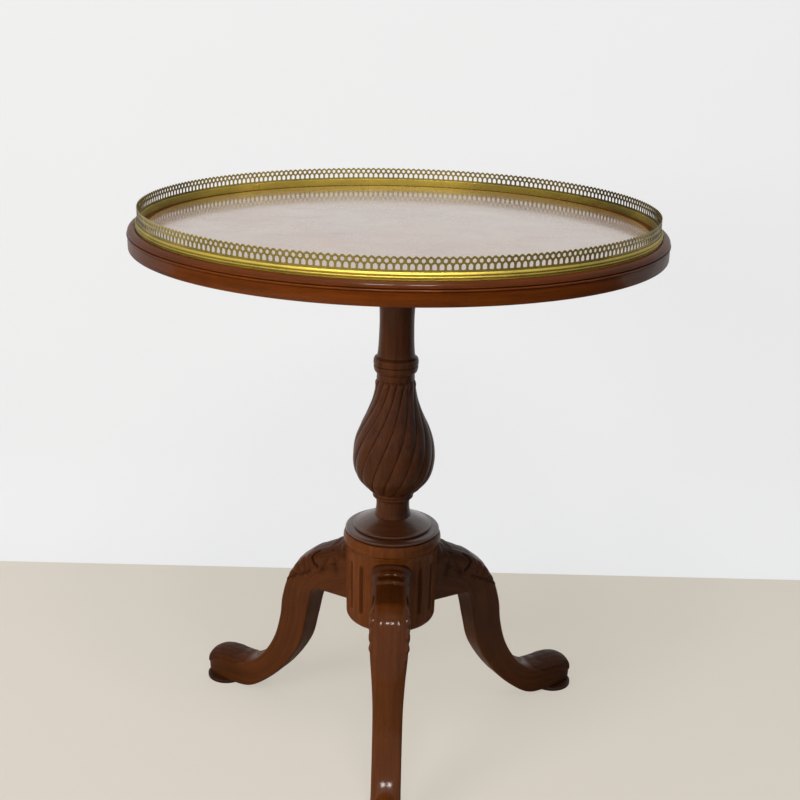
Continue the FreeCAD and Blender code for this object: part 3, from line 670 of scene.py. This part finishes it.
def flat_cell(sizes, half):
    """A cell of the strip, flat and in millimetres: a slot in its middle and half a round hole in each side."""
    hole = sizes.hole_radius / MM
    slot = sizes.slot_width / MM / 2
    rim = [(half, FRET_LOW)]
    for degrees in (-90, -58, -28, 0, 28, 58, 90):
        angle = math.radians(degrees)
        rim.append((half - hole * math.cos(angle), TABLE_SURFACE + HOLE_HEIGHT + hole * math.sin(angle)))
    rim += [(half * share, GALLERY_TOP - drop) for share, drop in SCALLOP]
    opening = [(share * slot, TABLE_SURFACE + SILL_HEIGHT + rise) for share, rise in SLOT]
    shape = bmesh.new()
    edges = []
    for line in (rim, opening):
        line = line + [(-across, height) for across, height in reversed(line[:-1])]
        edges += drawn_line(shape, [(across, 0, height) for across, height in line], closed=True)[1]
    bmesh.ops.triangle_fill(shape, edges=edges, use_beauty=True, normal=(0, -1, 0))
    bmesh.ops.join_triangles(shape, faces=shape.faces, angle_face_threshold=0.1, angle_shape_threshold=3.0)
    return shape


def pierced_strip(sizes, first, last):
    """A length of strip between two seams: a cell is cut out flat, bent, and repeated round the gallery."""
    pitch = FULL_TURN / sizes.opening_count
    cells = last - first
    outer = GALLERY_RADIUS * MM + sizes.strip_thickness / 2
    shape = flat_cell(sizes, pitch * GALLERY_RADIUS / 2)
    for point in shape.verts:
        angle = point.co.x / GALLERY_RADIUS + (first + 0.5) * pitch
        point.co = (outer * math.cos(angle), outer * math.sin(angle), point.co.z * MM)
    bmesh.ops.spin(shape, geom=shape.verts[:] + shape.edges[:] + shape.faces[:], cent=(0, 0, 0), axis=(0, 0, 1),
                   angle=pitch * (cells - 1), steps=cells - 1, use_duplicate=True)
    bmesh.ops.remove_doubles(shape, verts=shape.verts, dist=2e-5)
    # the length is made shorter by a hair, which opens its seams
    squeeze = 1 - FRET_GAP / (cells * pitch)
    middle = (first + last) / 2 * pitch
    for point in shape.verts:
        angle = (math.atan2(point.co.y, point.co.x) - middle + math.pi) % FULL_TURN - math.pi
        angle = middle + angle * squeeze
        point.co = (outer * math.cos(angle), outer * math.sin(angle), point.co.z)
    face_outward(shape)
    face = shape.faces[0]
    centre = face.calc_center_median()
    if face.normal.x * centre.x + face.normal.y * centre.y < 0:
        bmesh.ops.reverse_faces(shape, faces=shape.faces)
    bmesh.ops.solidify(shape, geom=shape.faces[:], thickness=sizes.strip_thickness)
    return shape


class TEATABLE_OT_gallery(bpy.types.Operator):
    """Make the reeded brass channel, the three lengths of pierced strip, and dress the rivets and studs"""
    bl_idname = "tea_table.gallery"
    bl_label = "Brass gallery"

    def execute(self, context):
        dress("gallery_rivets", "Bright brass")
        dress("gallery_studs", "Bright brass")
        finished_piece("reeded_channel", channel_shape(), ["Bright brass"], ["gallery_channel"], 32)
        for node, (first, last) in FRET_LENGTHS.items():
            shape = pierced_strip(context.scene.tea_table_shape, first, last)
            finished_piece(node.replace("gallery", "pierced"), shape, ["Pierced brass"], [node], 40)
        return {"FINISHED"}


# ---- Column, collar and drum ----

def climb_of(rows):
    """Share of the reeds' twist up to each height: a reed leans more where the vase is slim."""
    climbs = [0.0]
    for (radius, height), (next_radius, next_height) in zip(rows, rows[1:]):
        climbs.append(climbs[-1] + (next_height - height) * (2 / (radius + next_radius)) ** 0.5)
    return [(height, climb / climbs[-1]) for (radius, height), climb in zip(rows, climbs)]


def column_outline():
    """Profile of the column from the lower tenon to the upper one."""
    tenon = TENON_RADIUS
    outline = [(0, COLUMN_LOW), (tenon - 1, COLUMN_LOW), (tenon, COLUMN_LOW + 1.5)]
    outline += profile(COLLAR_TOP, [
        (1, (tenon, 0), (22.5, 0)),
        (3, (22.4, 0.6), (21.2, 5), (20.25, 12), (20.4, 18), (21.4, 22), (23.6, 24)),
        (1, (24.3, 24.1), (24.8, 24.6), (24.8, 26.4), (24.4, 27.0), (23.6, 27.3), (24.2, 27.7), (25.3, 28.0),
         (25.6, 28.5)),
        VASE,
        (3, (22.9, 175.2), (22.6, 178.5), (22.7, 182.2)),
        (1, (23.4, 182.6)),
        (3, (24.6, 183.2), (25.7, 185.2), (26.4, 188), (26.6, 190.6), (26.3, 191.4)),
        (1, (25.8, 191.9), (26.3, 192.4)),
        (3, (26.8, 193.4), (26.9, 196), (26.5, 198.7), (25.7, 200.4), (24.6, 201.3)),
        (1, (23.4, 201.7)),
        (4, (22.6, 202.4), (21.8, 209), (21.1, 220), (20.5, 243), (21.1, 262), (22.9, 280), (25.0, 296),
         (27.6, 306)),
    ])
    outline += raised(BLOCK_BOTTOM, [(30.4, -8), (31, -7.4), (31, -0.6), (30.5, 0), (tenon, 0)])
    return outline + [(tenon, COLUMN_HIGH), (0, COLUMN_HIGH)]


class TEATABLE_OT_column(bpy.types.Operator):
    """Make the turned column with its spiral reeded vase, whose reeds end in small bosses"""
    bl_idname = "tea_table.column"
    bl_label = "Reeded column"

    def execute(self, context):
        sizes = context.scene.tea_table_shape
        shape = turned(column_outline(), sizes.reed_count * STEPS_PER_REED)
        hollow = shape.verts.layers.float.new("hollow")
        low, high = COLLAR_TOP + VASE[1][1], COLLAR_TOP + VASE[-1][1]
        pitch = FULL_TURN / sizes.reed_count
        climbs = climb_of(profile(COLLAR_TOP, [VASE]))
        for point in shape.verts:
            radius, height, angle = polar(point)
            if radius < TENON_RADIUS + 1:
                continue
            reed, step = divmod(round(angle / (pitch / STEPS_PER_REED)), STEPS_PER_REED)
            across = math.sin(math.pi * (step / STEPS_PER_REED - 0.5))
            angle = (reed + 0.5 + 0.5 * across) * pitch + between(climbs, height)[0] * sizes.reed_twist
            if low < height < high:
                width = radius * pitch / 2
                depth = min(sizes.reed_depth / MM, 0.3 * width)
                nose = max(0.0, 1 - (height - low) / (0.9 * width), 1 - (high - height) / (1.3 * width))
                swell = math.sqrt(max(0.0, 1 - across * across - nose * nose))
                boss = bump(low + 5, 4.5, height) + bump(high - 5.5, 5, height)
                radius += 0.8 * boss * (1 - across * across) - depth * (1 - swell)
                # painted shade with some wax: the valleys between the reeds, and below, the two scribed grooves,
                # are marked to be darkened
                point[hollow] = 0.4 * smooth_step(0.4, 1.0, 1 - swell)
            if any(abs(height - COLLAR_TOP - groove) < 0.2 for groove in COLUMN_GROOVES):
                point[hollow] = 0.9
            set_polar(point, radius, angle)
        finished_piece("reeded_column", shape, ["Turned mahogany"], ["column"], 50)
        return {"FINISHED"}


def collar_outline():
    """Profile of the collar: swelling band, torus, bead and low dome."""
    low, top = DRUM_TOP, COLLAR_TOP
    outline = profile(low, [
        (1, (0, 0.1), (58.7, 0.1), (59.3, 0.6)),
        (3, (59.8, 1.8), (60.1, 5), (60.0, 8), (59.3, 11), (58.3, 13.4)),
        (1, (57.6, 14.0), (56.8, 14.3)),
    ])
    outline += arc_points((54.2, low + 17.1), (3.6, 2.5), -70, 75, 10)
    outline += raised(low, [(53.4, 19.8), (47.0, 19.9)])
    outline += arc_points((45.7, low + 22.1), (2.1, 2.05), -70, 85, 9)
    dome = raised(low, [(44.6, 24.5), (40, 26.9), (34, 29.9), (28, 32.7)]) + [(22.8, top - 0.4)]
    return outline + raised(low, [(45.2, 24.2)]) + smooth_line(dome, 4) + [(22.0, top), (0, top)]


def drum_outline():
    """Profile of the drum, with close rows where the flutes end."""
    low, top = DRUM_BOTTOM, DRUM_TOP
    rows = [13, 18, 20.2, 20.9, 21.3, 21.8, 22.6, 23.6, 25, 27, 30, 36, 42, 48, 54, 60, 66, 72, 78, 81, 83,
            84.4, 85.4, 86.2, 86.7, 87.1, 87.8, 90.5]
    outline = [(0, low)] + arc_points((46.5, low + 8.5), (9, 8.5), -90, 0, 9)
    outline += [(55.5 + (row - 4) / 90, low + row) for row in rows]
    outline += profile(low, [(3, (56.5, 93.4), (56.8, 95.6), (57.6, 98.4), (58.7, 101.0), (59.4, 102.6))])
    return outline + [(59.4, top), (0, top)]


def fluted_shape(gouge, depth):
    """The drum, with the flutes that a round gouge cuts between the legs."""
    offset = gouge - depth
    half_width = math.sqrt(gouge * gouge - offset * offset)
    half_angle = half_width / DRUM_RADIUS
    pitch = math.radians(FLUTE_PITCH)
    low, high = DRUM_BOTTOM + FLUTE_LOW + gouge, DRUM_BOTTOM + FLUTE_HIGH - gouge
    shape = turned(drum_outline(), 360 // FLUTE_PITCH * STEPS_PER_FLUTE)
    hollow = shape.verts.layers.float.new("hollow")
    # half of a cell's steps lie in its flute, and the other half beside it
    half_steps = STEPS_PER_FLUTE // 2
    for point in shape.verts:
        radius, height, angle = polar(point)
        if radius < DRUM_CORE_RADIUS:
            continue
        step = round(angle / (pitch / STEPS_PER_FLUTE)) + half_steps // 2
        cell, within = divmod(step, STEPS_PER_FLUTE)
        in_flute = within <= half_steps
        if in_flute:
            sideways = half_angle * (within - half_steps / 2) / (half_steps / 2)
        else:
            sideways = half_angle + (pitch - 2 * half_angle) * (within - half_steps) / half_steps
        angle = (cell + 0.5) * pitch + sideways
        from_leg = min(abs((angle - math.radians(leg) + math.pi) % FULL_TURN - math.pi)
                       for leg in LEG_ANGLES.values())
        distance = math.hypot(sideways * radius, max(0.0, low - height, height - high))
        clear_of_leg = from_leg > math.radians(FLUTE_CLEAR_OF_LEG)
        if in_flute and distance < half_width and clear_of_leg and radius > DRUM_RADIUS - 1:
            cut = math.sqrt(gouge * gouge - distance * distance) - offset
            radius -= cut
            # painted shade with some wax: a flute is darkened the more deeply it is cut
            point[hollow] = 0.75 * cut / depth
        set_polar(point, radius, angle)
    return shape


class TEATABLE_OT_drum(bpy.types.Operator):
    """Make the fluted drum that holds the legs and the collar on it"""
    bl_idname = "tea_table.drum"
    bl_label = "Drum and collar"

    def execute(self, context):
        collar = turned(collar_outline(), COLLAR_STEPS)
        for face in collar.faces:
            if face.calc_center_median().z < (DRUM_TOP + COLLAR_BAND) * MM:
                face.material_index = 1
        finished_piece("turned_collar", collar, ["Collar mahogany", "Drum mahogany"],
                       ["collar"], 40)
        sizes = context.scene.tea_table_shape
        drum = fluted_shape(sizes.flute_radius / MM, sizes.flute_depth / MM)
        finished_piece("fluted_drum", drum, ["Drum mahogany"], ["hub_drum"], 40)
        for node in ("brace_plate", "brace_screws", "top_block_screws"):
            dress(node, "Plain steel")
        return {"FINISHED"}


# ---- Legs ----

# Sections of a leg along +X: station, crest reach and height, inner reach and height, half width, crown height,
# radius of the inner corner
LEG_SECTIONS = [
    (0, 50, 265.5, 50, 186, 22.8, 14, 3),
    (57, 98.5, 244, 95, 186, 22.7, 11, 3),
    (88, 125.5, 224.3, 102, 184, 22.7, 8, 3),
    (112, 145, 196.6, 107, 178, 22.4, 8, 3),
    (151, 158, 160, 113, 158, 19.4, 7, 3),
    (182, 162.5, 129, 119, 129, 17.8, 6, 2.8),
    (218, 172, 95, 130, 91, 17.4, 5, 2.8),
    (253, 190, 64.5, 160, 47, 17.3, 4, 3),
    (280, 211.5, 48, 193, 17, 17.4, 6, 3),
    (297, 228, 45.3, 216, 4.8, 18.4, 10, 3),
    (317, 248, 46.3, 246, 4.6, 19.6, 11, 2),
    (331, 262, 45.8, 260.5, 4.6, 18.8, 11.5, 2),
    (345, 275, 41.5, 273.5, 4.6, 15.8, 11, 2),
    (357, 284, 33, 282.5, 4.6, 11.4, 9, 2),
    (367, 288.3, 24, 286.8, 4.6, 7, 6, 2),
    (377, 289.1, 14, 288.4, 4.6, 3.4, 3, 1),
]
LEG_LENGTH = LEG_SECTIONS[-1][0]
# the groove that curls round beside the panel: along the leg, aside from its crest
SIDE_GROOVE = [(52, 19), (61, 21.5), (65.5, 28), (63, 36), (55, 43)]
LEG_STATIONS = 270
LEG_COLUMNS = 120
LEG_GRAIN_SHIFT = 0.7


def leg_section(section, share):
    """A point of a leg's section: share runs from the middle of the sole up one side, over the crest and back.

    Gives the point across the leg, its height over the inner line, and its way from the crest."""
    half_width, crown, corner, depth = section
    crown = min(crown, 0.8 * depth)
    side = 1 if share > 0.5 else -1
    way = 2 * abs(share - 0.5)
    crest_length = math.pi / 2 * math.sqrt((half_width ** 2 + crown ** 2) / 2)
    if way < 0.5:
        angle = way / 0.5 * math.pi / 2
        across = half_width * math.sin(angle) ** 0.92
        height = depth - crown + crown * math.cos(angle) ** 0.92
        from_crest = crest_length * way / 0.5
    elif way < 0.74:
        part = (way - 0.5) / 0.24
        height = (depth - crown) * (1 - part) + corner * part
        across = half_width
        from_crest = crest_length + (depth - crown - corner) * part
    elif way < 0.84:
        angle = (way - 0.74) / 0.1 * math.pi / 2
        across = half_width - corner + corner * math.cos(angle)
        height = corner - corner * math.sin(angle)
        from_crest = crest_length + depth - crown - corner + corner * angle
    else:
        part = (way - 0.84) / 0.16
        across = (half_width - corner) * (1 - part)
        height = 0.0
        from_crest = crest_length + depth - crown + 0.57 * corner + (half_width - corner) * part
    return side * across, height, side * from_crest


def strand(along, aside, centre, start, end, half_width):
    """One lobe of a carved leaf: a full round head, then a low rib with a small swelling near its tip."""
    share = (along - start) / (end - start)
    if share <= -0.2 or share >= 1.05:
        return 0.0
    across = (aside - centre * (1 - 0.2 * max(0.0, share))) / (half_width * (1 - 0.3 * max(0.0, share)))
    if abs(across) >= 1:
        return 0.0
    rib = 0.2 * zone(-0.15, 0.1, 0.8, 1.05, share)
    tip = 0.6 * bump(0.84, 0.14, share) if centre > 0 else 0.0
    return math.sqrt(1 - across * across) * max(rib, bump(0.04, 0.26, share), tip)


def from_line(along, aside, line):
    """Distance from a place on the leg to a line of straight runs."""
    nearest = math.inf
    for (a, b), (c, d) in zip(line, line[1:]):
        run_along, run_aside = c - a, d - b
        share = ((along - a) * run_along + (aside - b) * run_aside) / (run_along ** 2 + run_aside ** 2)
        share = min(1.0, max(0.0, share))
        nearest = min(nearest, math.hypot(along - a - share * run_along, aside - b - share * run_aside))
    return nearest


def carving(along, from_crest):
    """Height of the carving, 1 being the full depth, and how much painted shade and wax darken the place."""
    aside = abs(from_crest)
    # the hood against the drum, with two bars across it and a sunk panel below them
    arch = math.sqrt(max(0.0, 1 - (aside / 29) ** 2))
    relief = 1.8 * arch * (1 - smooth_step(8, 14, along))
    across_top = 1 - smooth_step(10, 15, aside)
    relief += across_top * (0.6 * bump(17.5, 4.6, along) + 0.55 * bump(33, 3, along))
    groove = 0.75 * across_top * bump(25.2, 5, along)
    groove += 0.6 * zone(34, 38, 63, 69, along) * (1 - smooth_step(11, 15, aside))
    # painted shade over the leg's top next to the drum, round the hood and the panel, but not on the two bars
    shade = 0.4 * (1 - smooth_step(60, 72, along)) * (1 - smooth_step(26, 36, aside))
    shade *= 1 - across_top * max(bump(17.5, 5, along), bump(33, 3.4, along))
    # the curled groove and the small hollow beside the panel, and the shallow fan between them
    groove += 1.15 * bump(0, 3.4, from_line(along, aside, SIDE_GROOVE))
    groove += 0.9 * bump(0, 1, math.hypot((along - 27) / 7, (aside - 24) / 4))
    fan = zone(7, 14, 30, 40, math.hypot(along - 27, aside - 24)) * smooth_step(24, 28, aside)
    vein = abs(math.sin(3.5 * math.atan2(aside - 24, along - 27)))
    groove += 0.6 * fan * (1 - vein) ** 1.5
    lower_edge = between([(0, 36), (22, 42), (45, 48), (60, 50)], along)[0] + 3.5 * (waves(along, 15.5, 0.6) - 0.7)
    groove += 0.5 * zone(4, 10, 50, 58, along) * bump(lower_edge, 2.4, aside)
    # the leaf on the knee: lobes that hang over its sides, and three that run down its front
    side_edge = between([(66, 42), (78, 43), (94, 37), (106, 29), (120, 20)], along)[0]
    side_edge += 3.6 * (waves(along - 66, 12, 0.6) - 0.7)
    knee = zone(67, 74, 117, 125, along) * smooth_step(15, 20, aside)
    inside = knee * (1 - smooth_step(side_edge - 3, side_edge, aside))
    ripple = waves(along - 66 - 0.3 * (aside - 20), 12, 0.7)
    relief += inside * (0.2 + 0.7 * ripple)
    groove += 0.45 * inside * (1 - ripple) + 0.75 * knee * bump(side_edge + 1, 2.6, aside)
    lobes = max(strand(along, aside, 0, 89, 120, 6.4), strand(along, aside, 10.9, 89.5, 119, 4.4))
    relief = max(relief, 0.38 * lobes)
    # the leaf over the foot
    foot = zone(285, 293, 364, 374, along)
    foot_edge = between([(284, 10), (292, 16), (306, 24), (325, 27), (345, 25), (360, 17), (374, 8)], along)[0]
    foot_edge += 2.4 * (waves(along - 286, 15, 0.6) - 0.7)
    over_foot = foot * (1 - smooth_step(foot_edge - 2, foot_edge, aside))
    rib = waves(aside + 3.6, 7.2, 0.7)
    slant = waves(along - 286 + 0.5 * aside, 15, 0.6)
    relief += over_foot * (0.25 + 0.25 * rib + 0.25 * slant)
    groove += 0.4 * foot * smooth_step(8, 12, aside) * bump(foot_edge + 0.8, 2.2, aside)
    groove += 0.7 * bump(0, 1, math.hypot((along - 303) / 6.5, (aside - 7) / 4))
    # the foot is painted darker, the more so towards the toe
    shade += 0.2 * over_foot + 0.3 * smooth_step(275, 315, along) + 0.2 * smooth_step(320, 360, along)
    # the second value is painted shade with some wax: the shade above, and the grooves, among them the dark lines
    # under the leaves' edges that stand for their shadow
    return relief - groove, min(1.0, max(shade, groove - 0.3 * relief, 0.0))


def leg_shape(depth, angle, number):
    """A cabriole leg on its round pad: a sheet bent to the leg's sections, closed and then carved."""
    shape = bmesh.new()
    bmesh.ops.create_grid(shape, x_segments=LEG_STATIONS, y_segments=LEG_COLUMNS, size=1)
    grain = shape.loops.layers.uv.new("grain")
    along_layer = shape.verts.layers.float.new("along")
    around_layer = shape.verts.layers.float.new("around")
    hollow = shape.verts.layers.float.new("hollow")
    for point in shape.verts:
        station = (point.co.x + 1) / 2 * LEG_LENGTH
        crest_x, crest_z, inner_x, inner_z, half_width, crown, corner = between(LEG_SECTIONS, station)
        run = Vector((crest_x - inner_x, 0, crest_z - inner_z))
        across, height, from_crest = leg_section((half_width, crown, corner, run.length), (point.co.y + 1) / 2)
        place = Vector((inner_x, 0, inner_z)) + run.normalized() * height
        point.co = (place.x * MM, across * MM, place.z * MM)
        point[along_layer], point[around_layer] = station, from_crest
    for face in shape.faces:
        for loop in face.loops:
            loop[grain].uv = (loop.vert[along_layer] * MM + LEG_GRAIN_SHIFT * number, loop.vert[around_layer] * MM)
    bmesh.ops.remove_doubles(shape, verts=shape.verts, dist=1e-6)
    bmesh.ops.holes_fill(shape, edges=[edge for edge in shape.edges if edge.is_boundary], sides=0)
    face_outward(shape)
    shape.normal_update()
    for point in shape.verts:
        # each point's painted shade with some wax is kept in the shade-and-wax mark
        relief, shade_and_wax_share = carving(point[along_layer], point[around_layer])
        point[hollow] = min(1.0, shade_and_wax_share)
        point.co += point.normal * (relief * depth)
    add_pad(shape)
    turn_whole(shape, math.radians(angle))
    for layer in ("along", "around"):
        shape.verts.layers.float.remove(shape.verts.layers.float[layer])
    return shape


def add_pad(shape):
    """The round pad under the foot, turned with a soft lower edge."""
    outline = [(0, 0)] + arc_points((PAD_RADIUS - 1.5, 1.5), (1.5, 1.5), -90, 0, 5)
    outline += [(PAD_RADIUS, 4.4), (PAD_RADIUS - 0.6, 5.0), (0, 5.0)]
    before = set(shape.faces)
    spin_line(shape, outline, PAD_STEPS, reach=PAD_REACH)
    pad_faces = [face for face in shape.faces if face not in before]
    pad_points = list({point for face in pad_faces for point in face.verts})
    bmesh.ops.remove_doubles(shape, verts=pad_points, dist=1e-7)
    pad_faces = [face for face in shape.faces if face not in before]
    bmesh.ops.recalc_face_normals(shape, faces=pad_faces)
    # the pad takes its second finish, the pad mahogany painted darker as shade
    for face in pad_faces:
        face.material_index = 1


class TEATABLE_OT_legs(bpy.types.Operator):
    """Make the three carved cabriole legs"""
    bl_idname = "tea_table.legs"
    bl_label = "Carved legs"

    def execute(self, context):
        depth = context.scene.tea_table_shape.carving_depth
        for number, (node, angle) in enumerate(LEG_ANGLES.items()):
            finished_piece(node.replace("leg", "carved_leg"), leg_shape(depth, angle, number),
                           ["Carved mahogany", "Pad mahogany"], [node], 45)
        return {"FINISHED"}


# ---- Stage ----

STAGE_HALF_WIDTH = 6.0


def stage_finish(name, colour, glow_share, mirrored):
    """Pale stage that the camera, and mirrors if asked, see near its own colour; it is see-through from behind."""
    finish, tree = new_finish(name)
    clouds = stretched_noise(tree, object_place(tree), (1.5, 1.5, 1.5), 3, 0.5)
    shade = colour_mix(tree, clouds, rgba(colour, 0.98), rgba(colour, 1.02))
    path = add_node(tree, "ShaderNodeLightPath").outputs
    matt = add_node(tree, "ShaderNodeBsdfDiffuse", {
        "Color": colour_mix(tree, 1.0, shade, (0.62, 0.62, 0.62), "MULTIPLY")}).outputs[0]
    glow = add_node(tree, "ShaderNodeEmission", {"Color": shade, "Strength": 1.0}).outputs[0]
    seen = maths(tree, "MAXIMUM", path["Is Camera Ray"], path["Is Transmission Ray"])
    if mirrored:
        seen = maths(tree, "MAXIMUM", seen, path["Is Glossy Ray"])
    front = add_node(tree, "ShaderNodeMixShader", {0: times(tree, seen, glow_share), 1: matt, 2: glow}).outputs[0]
    clear = add_node(tree, "ShaderNodeBsdfTransparent").outputs[0]
    behind = add_node(tree, "ShaderNodeNewGeometry").outputs["Backfacing"]
    whole = add_node(tree, "ShaderNodeMixShader", {0: behind, 1: front, 2: clear}).outputs[0]
    add_node(tree, "ShaderNodeOutputMaterial", {"Surface": whole})
    return finish


def stage_sheet(name, finish, depth_points):
    """A sheet that is wide in X and follows a line of (y, z) points."""
    shape = bmesh.new()
    edges = drawn_line(shape, [(-STAGE_HALF_WIDTH, y, z) for y, z in depth_points])[1]
    made = bmesh.ops.extrude_edge_only(shape, edges=edges)
    moved = [item for item in made["geom"] if isinstance(item, bmesh.types.BMVert)]
    bmesh.ops.translate(shape, verts=moved, vec=(2 * STAGE_HALF_WIDTH, 0, 0))
    face_outward(shape)
    shape.normal_update()
    if shape.faces[0].normal.z - shape.faces[0].normal.y < 0:
        bmesh.ops.reverse_faces(shape, faces=shape.faces)
    smooth_object(name, shape, [finish])


CAMERA_PLACE = (0.0033, -1.42, 0.9226)
CAMERA_TURNS = ((-0.0974, "Z"), (71.77, "X"), (1.41, "Z"))
# name, place, target, size, power, colour and whether polish mirrors it, of each light
LIGHTS = [
    ("ceiling_light_1", (-0.19, -1.05, 2.1), (0, 0, 0.3), 0.26, 10, (1.0, 0.97, 0.92), True),
    ("ceiling_light_2", (0.23, -1.05, 2.1), (0, 0, 0.3), 0.26, 10, (1.0, 0.97, 0.92), True),
    ("overhead_light", (-0.3, -0.5, 2.9), (0, -0.4, 0), 1.8, 8, (0.98, 0.99, 1.0), True),
    ("side_light", (-2.0, -1.9, 1.3), (0, 0, 0.5), 1.2, 60, (1.0, 0.96, 0.9), False),
]


def soft_light(name, place, target, size, power, colour, mirrored):
    lamp = bpy.data.lights.new(name, "AREA")
    lamp.size, lamp.energy, lamp.color = size, power, colour
    light = placed_object(name, lamp)
    light.location = place
    light.rotation_euler = (Vector(target) - Vector(place)).to_track_quat("-Z", "Y").to_euler()
    light.visible_glossy = mirrored


def daylight():
    """World that glossy rays and the camera see brighter than the light it gives."""
    world = bpy.data.worlds.new("Soft daylight")
    world.use_nodes = True
    tree = world.node_tree
    path = add_node(tree, "ShaderNodeLightPath").outputs
    mirrored = spread(tree, path["Is Glossy Ray"], 0.09, 0.7)
    seen = times(tree, path["Is Camera Ray"], 0.9)
    sky = tree.nodes["Background"]
    sky.inputs["Color"].default_value = (0.95, 0.97, 1.0, 1.0)
    tree.links.new(maths(tree, "MAXIMUM", mirrored, seen), sky.inputs["Strength"])
    return world


def add_camera(scene):
    """Camera at standing height in front of the table."""
    lens = bpy.data.cameras.new("studio_camera")
    lens.lens = 56.26
    lens.sensor_width = 36.0
    camera = placed_object("studio_camera", lens)
    heading, tilt, roll = [Matrix.Rotation(math.radians(degrees), 4, axis) for degrees, axis in CAMERA_TURNS]
    camera.matrix_world = Matrix.Translation(CAMERA_PLACE) @ heading @ tilt @ roll
    scene.camera = camera
    scene.view_settings.view_transform = "Standard"


class TEATABLE_OT_stage(bpy.types.Operator):
    """Make the floor, backdrop, lights and camera"""
    bl_idname = "tea_table.stage"
    bl_label = "Studio"

    def execute(self, context):
        colours = context.scene.tea_table_colours
        floor = stage_finish("Studio floor", colours.floor, 0.6, False)
        stage_sheet("studio_floor", floor, [(-STAGE_HALF_WIDTH, 0.0), (STAGE_HALF_WIDTH, 0.0)])
        wall = stage_finish("Studio backdrop", colours.backdrop, 0.8, True)
        curve = arc_points((0.47, 0.151), (0.15, 0.15), -90, 0, 16)
        stage_sheet("studio_backdrop", wall, curve + [(0.62, 4.5)])
        context.scene.world = daylight()
        for light in LIGHTS:
            soft_light(*light)
        add_camera(context.scene)
        return {"FINISHED"}


# ---- Panel and registration ----

OPERATORS = (TEATABLE_OT_top, TEATABLE_OT_edge, TEATABLE_OT_gallery, TEATABLE_OT_column, TEATABLE_OT_drum,
             TEATABLE_OT_legs, TEATABLE_OT_stage)


class TEATABLE_PT_panel(bpy.types.Panel):
    """Sizes, colours and steps of the tea table"""
    bl_idname = "TEATABLE_PT_panel"
    bl_label = "Tea Table"
    bl_space_type = "VIEW_3D"
    bl_region_type = "UI"
    bl_category = "Tea Table"

    def draw(self, context):
        for group in (context.scene.tea_table_shape, context.scene.tea_table_colours):
            box = self.layout.box()
            for name in group.__annotations__:
                box.prop(group, name)
        for operator in OPERATORS:
            self.layout.operator(operator.bl_idname)


CLASSES = (TeaTableShape, TeaTableColours, *OPERATORS, TEATABLE_PT_panel)


def register():
    for item in CLASSES:
        bpy.utils.register_class(item)
    bpy.types.Scene.tea_table_shape = PointerProperty(type=TeaTableShape)
    bpy.types.Scene.tea_table_colours = PointerProperty(type=TeaTableColours)


def unregister():
    del bpy.types.Scene.tea_table_colours
    del bpy.types.Scene.tea_table_shape
    for item in reversed(CLASSES):
        bpy.utils.unregister_class(item)


def main():
    register()
    for step in OPERATORS:
        section, name = step.bl_idname.split(".")
        getattr(getattr(bpy.ops, section), name)()


if __name__ == "__main__":
    main()
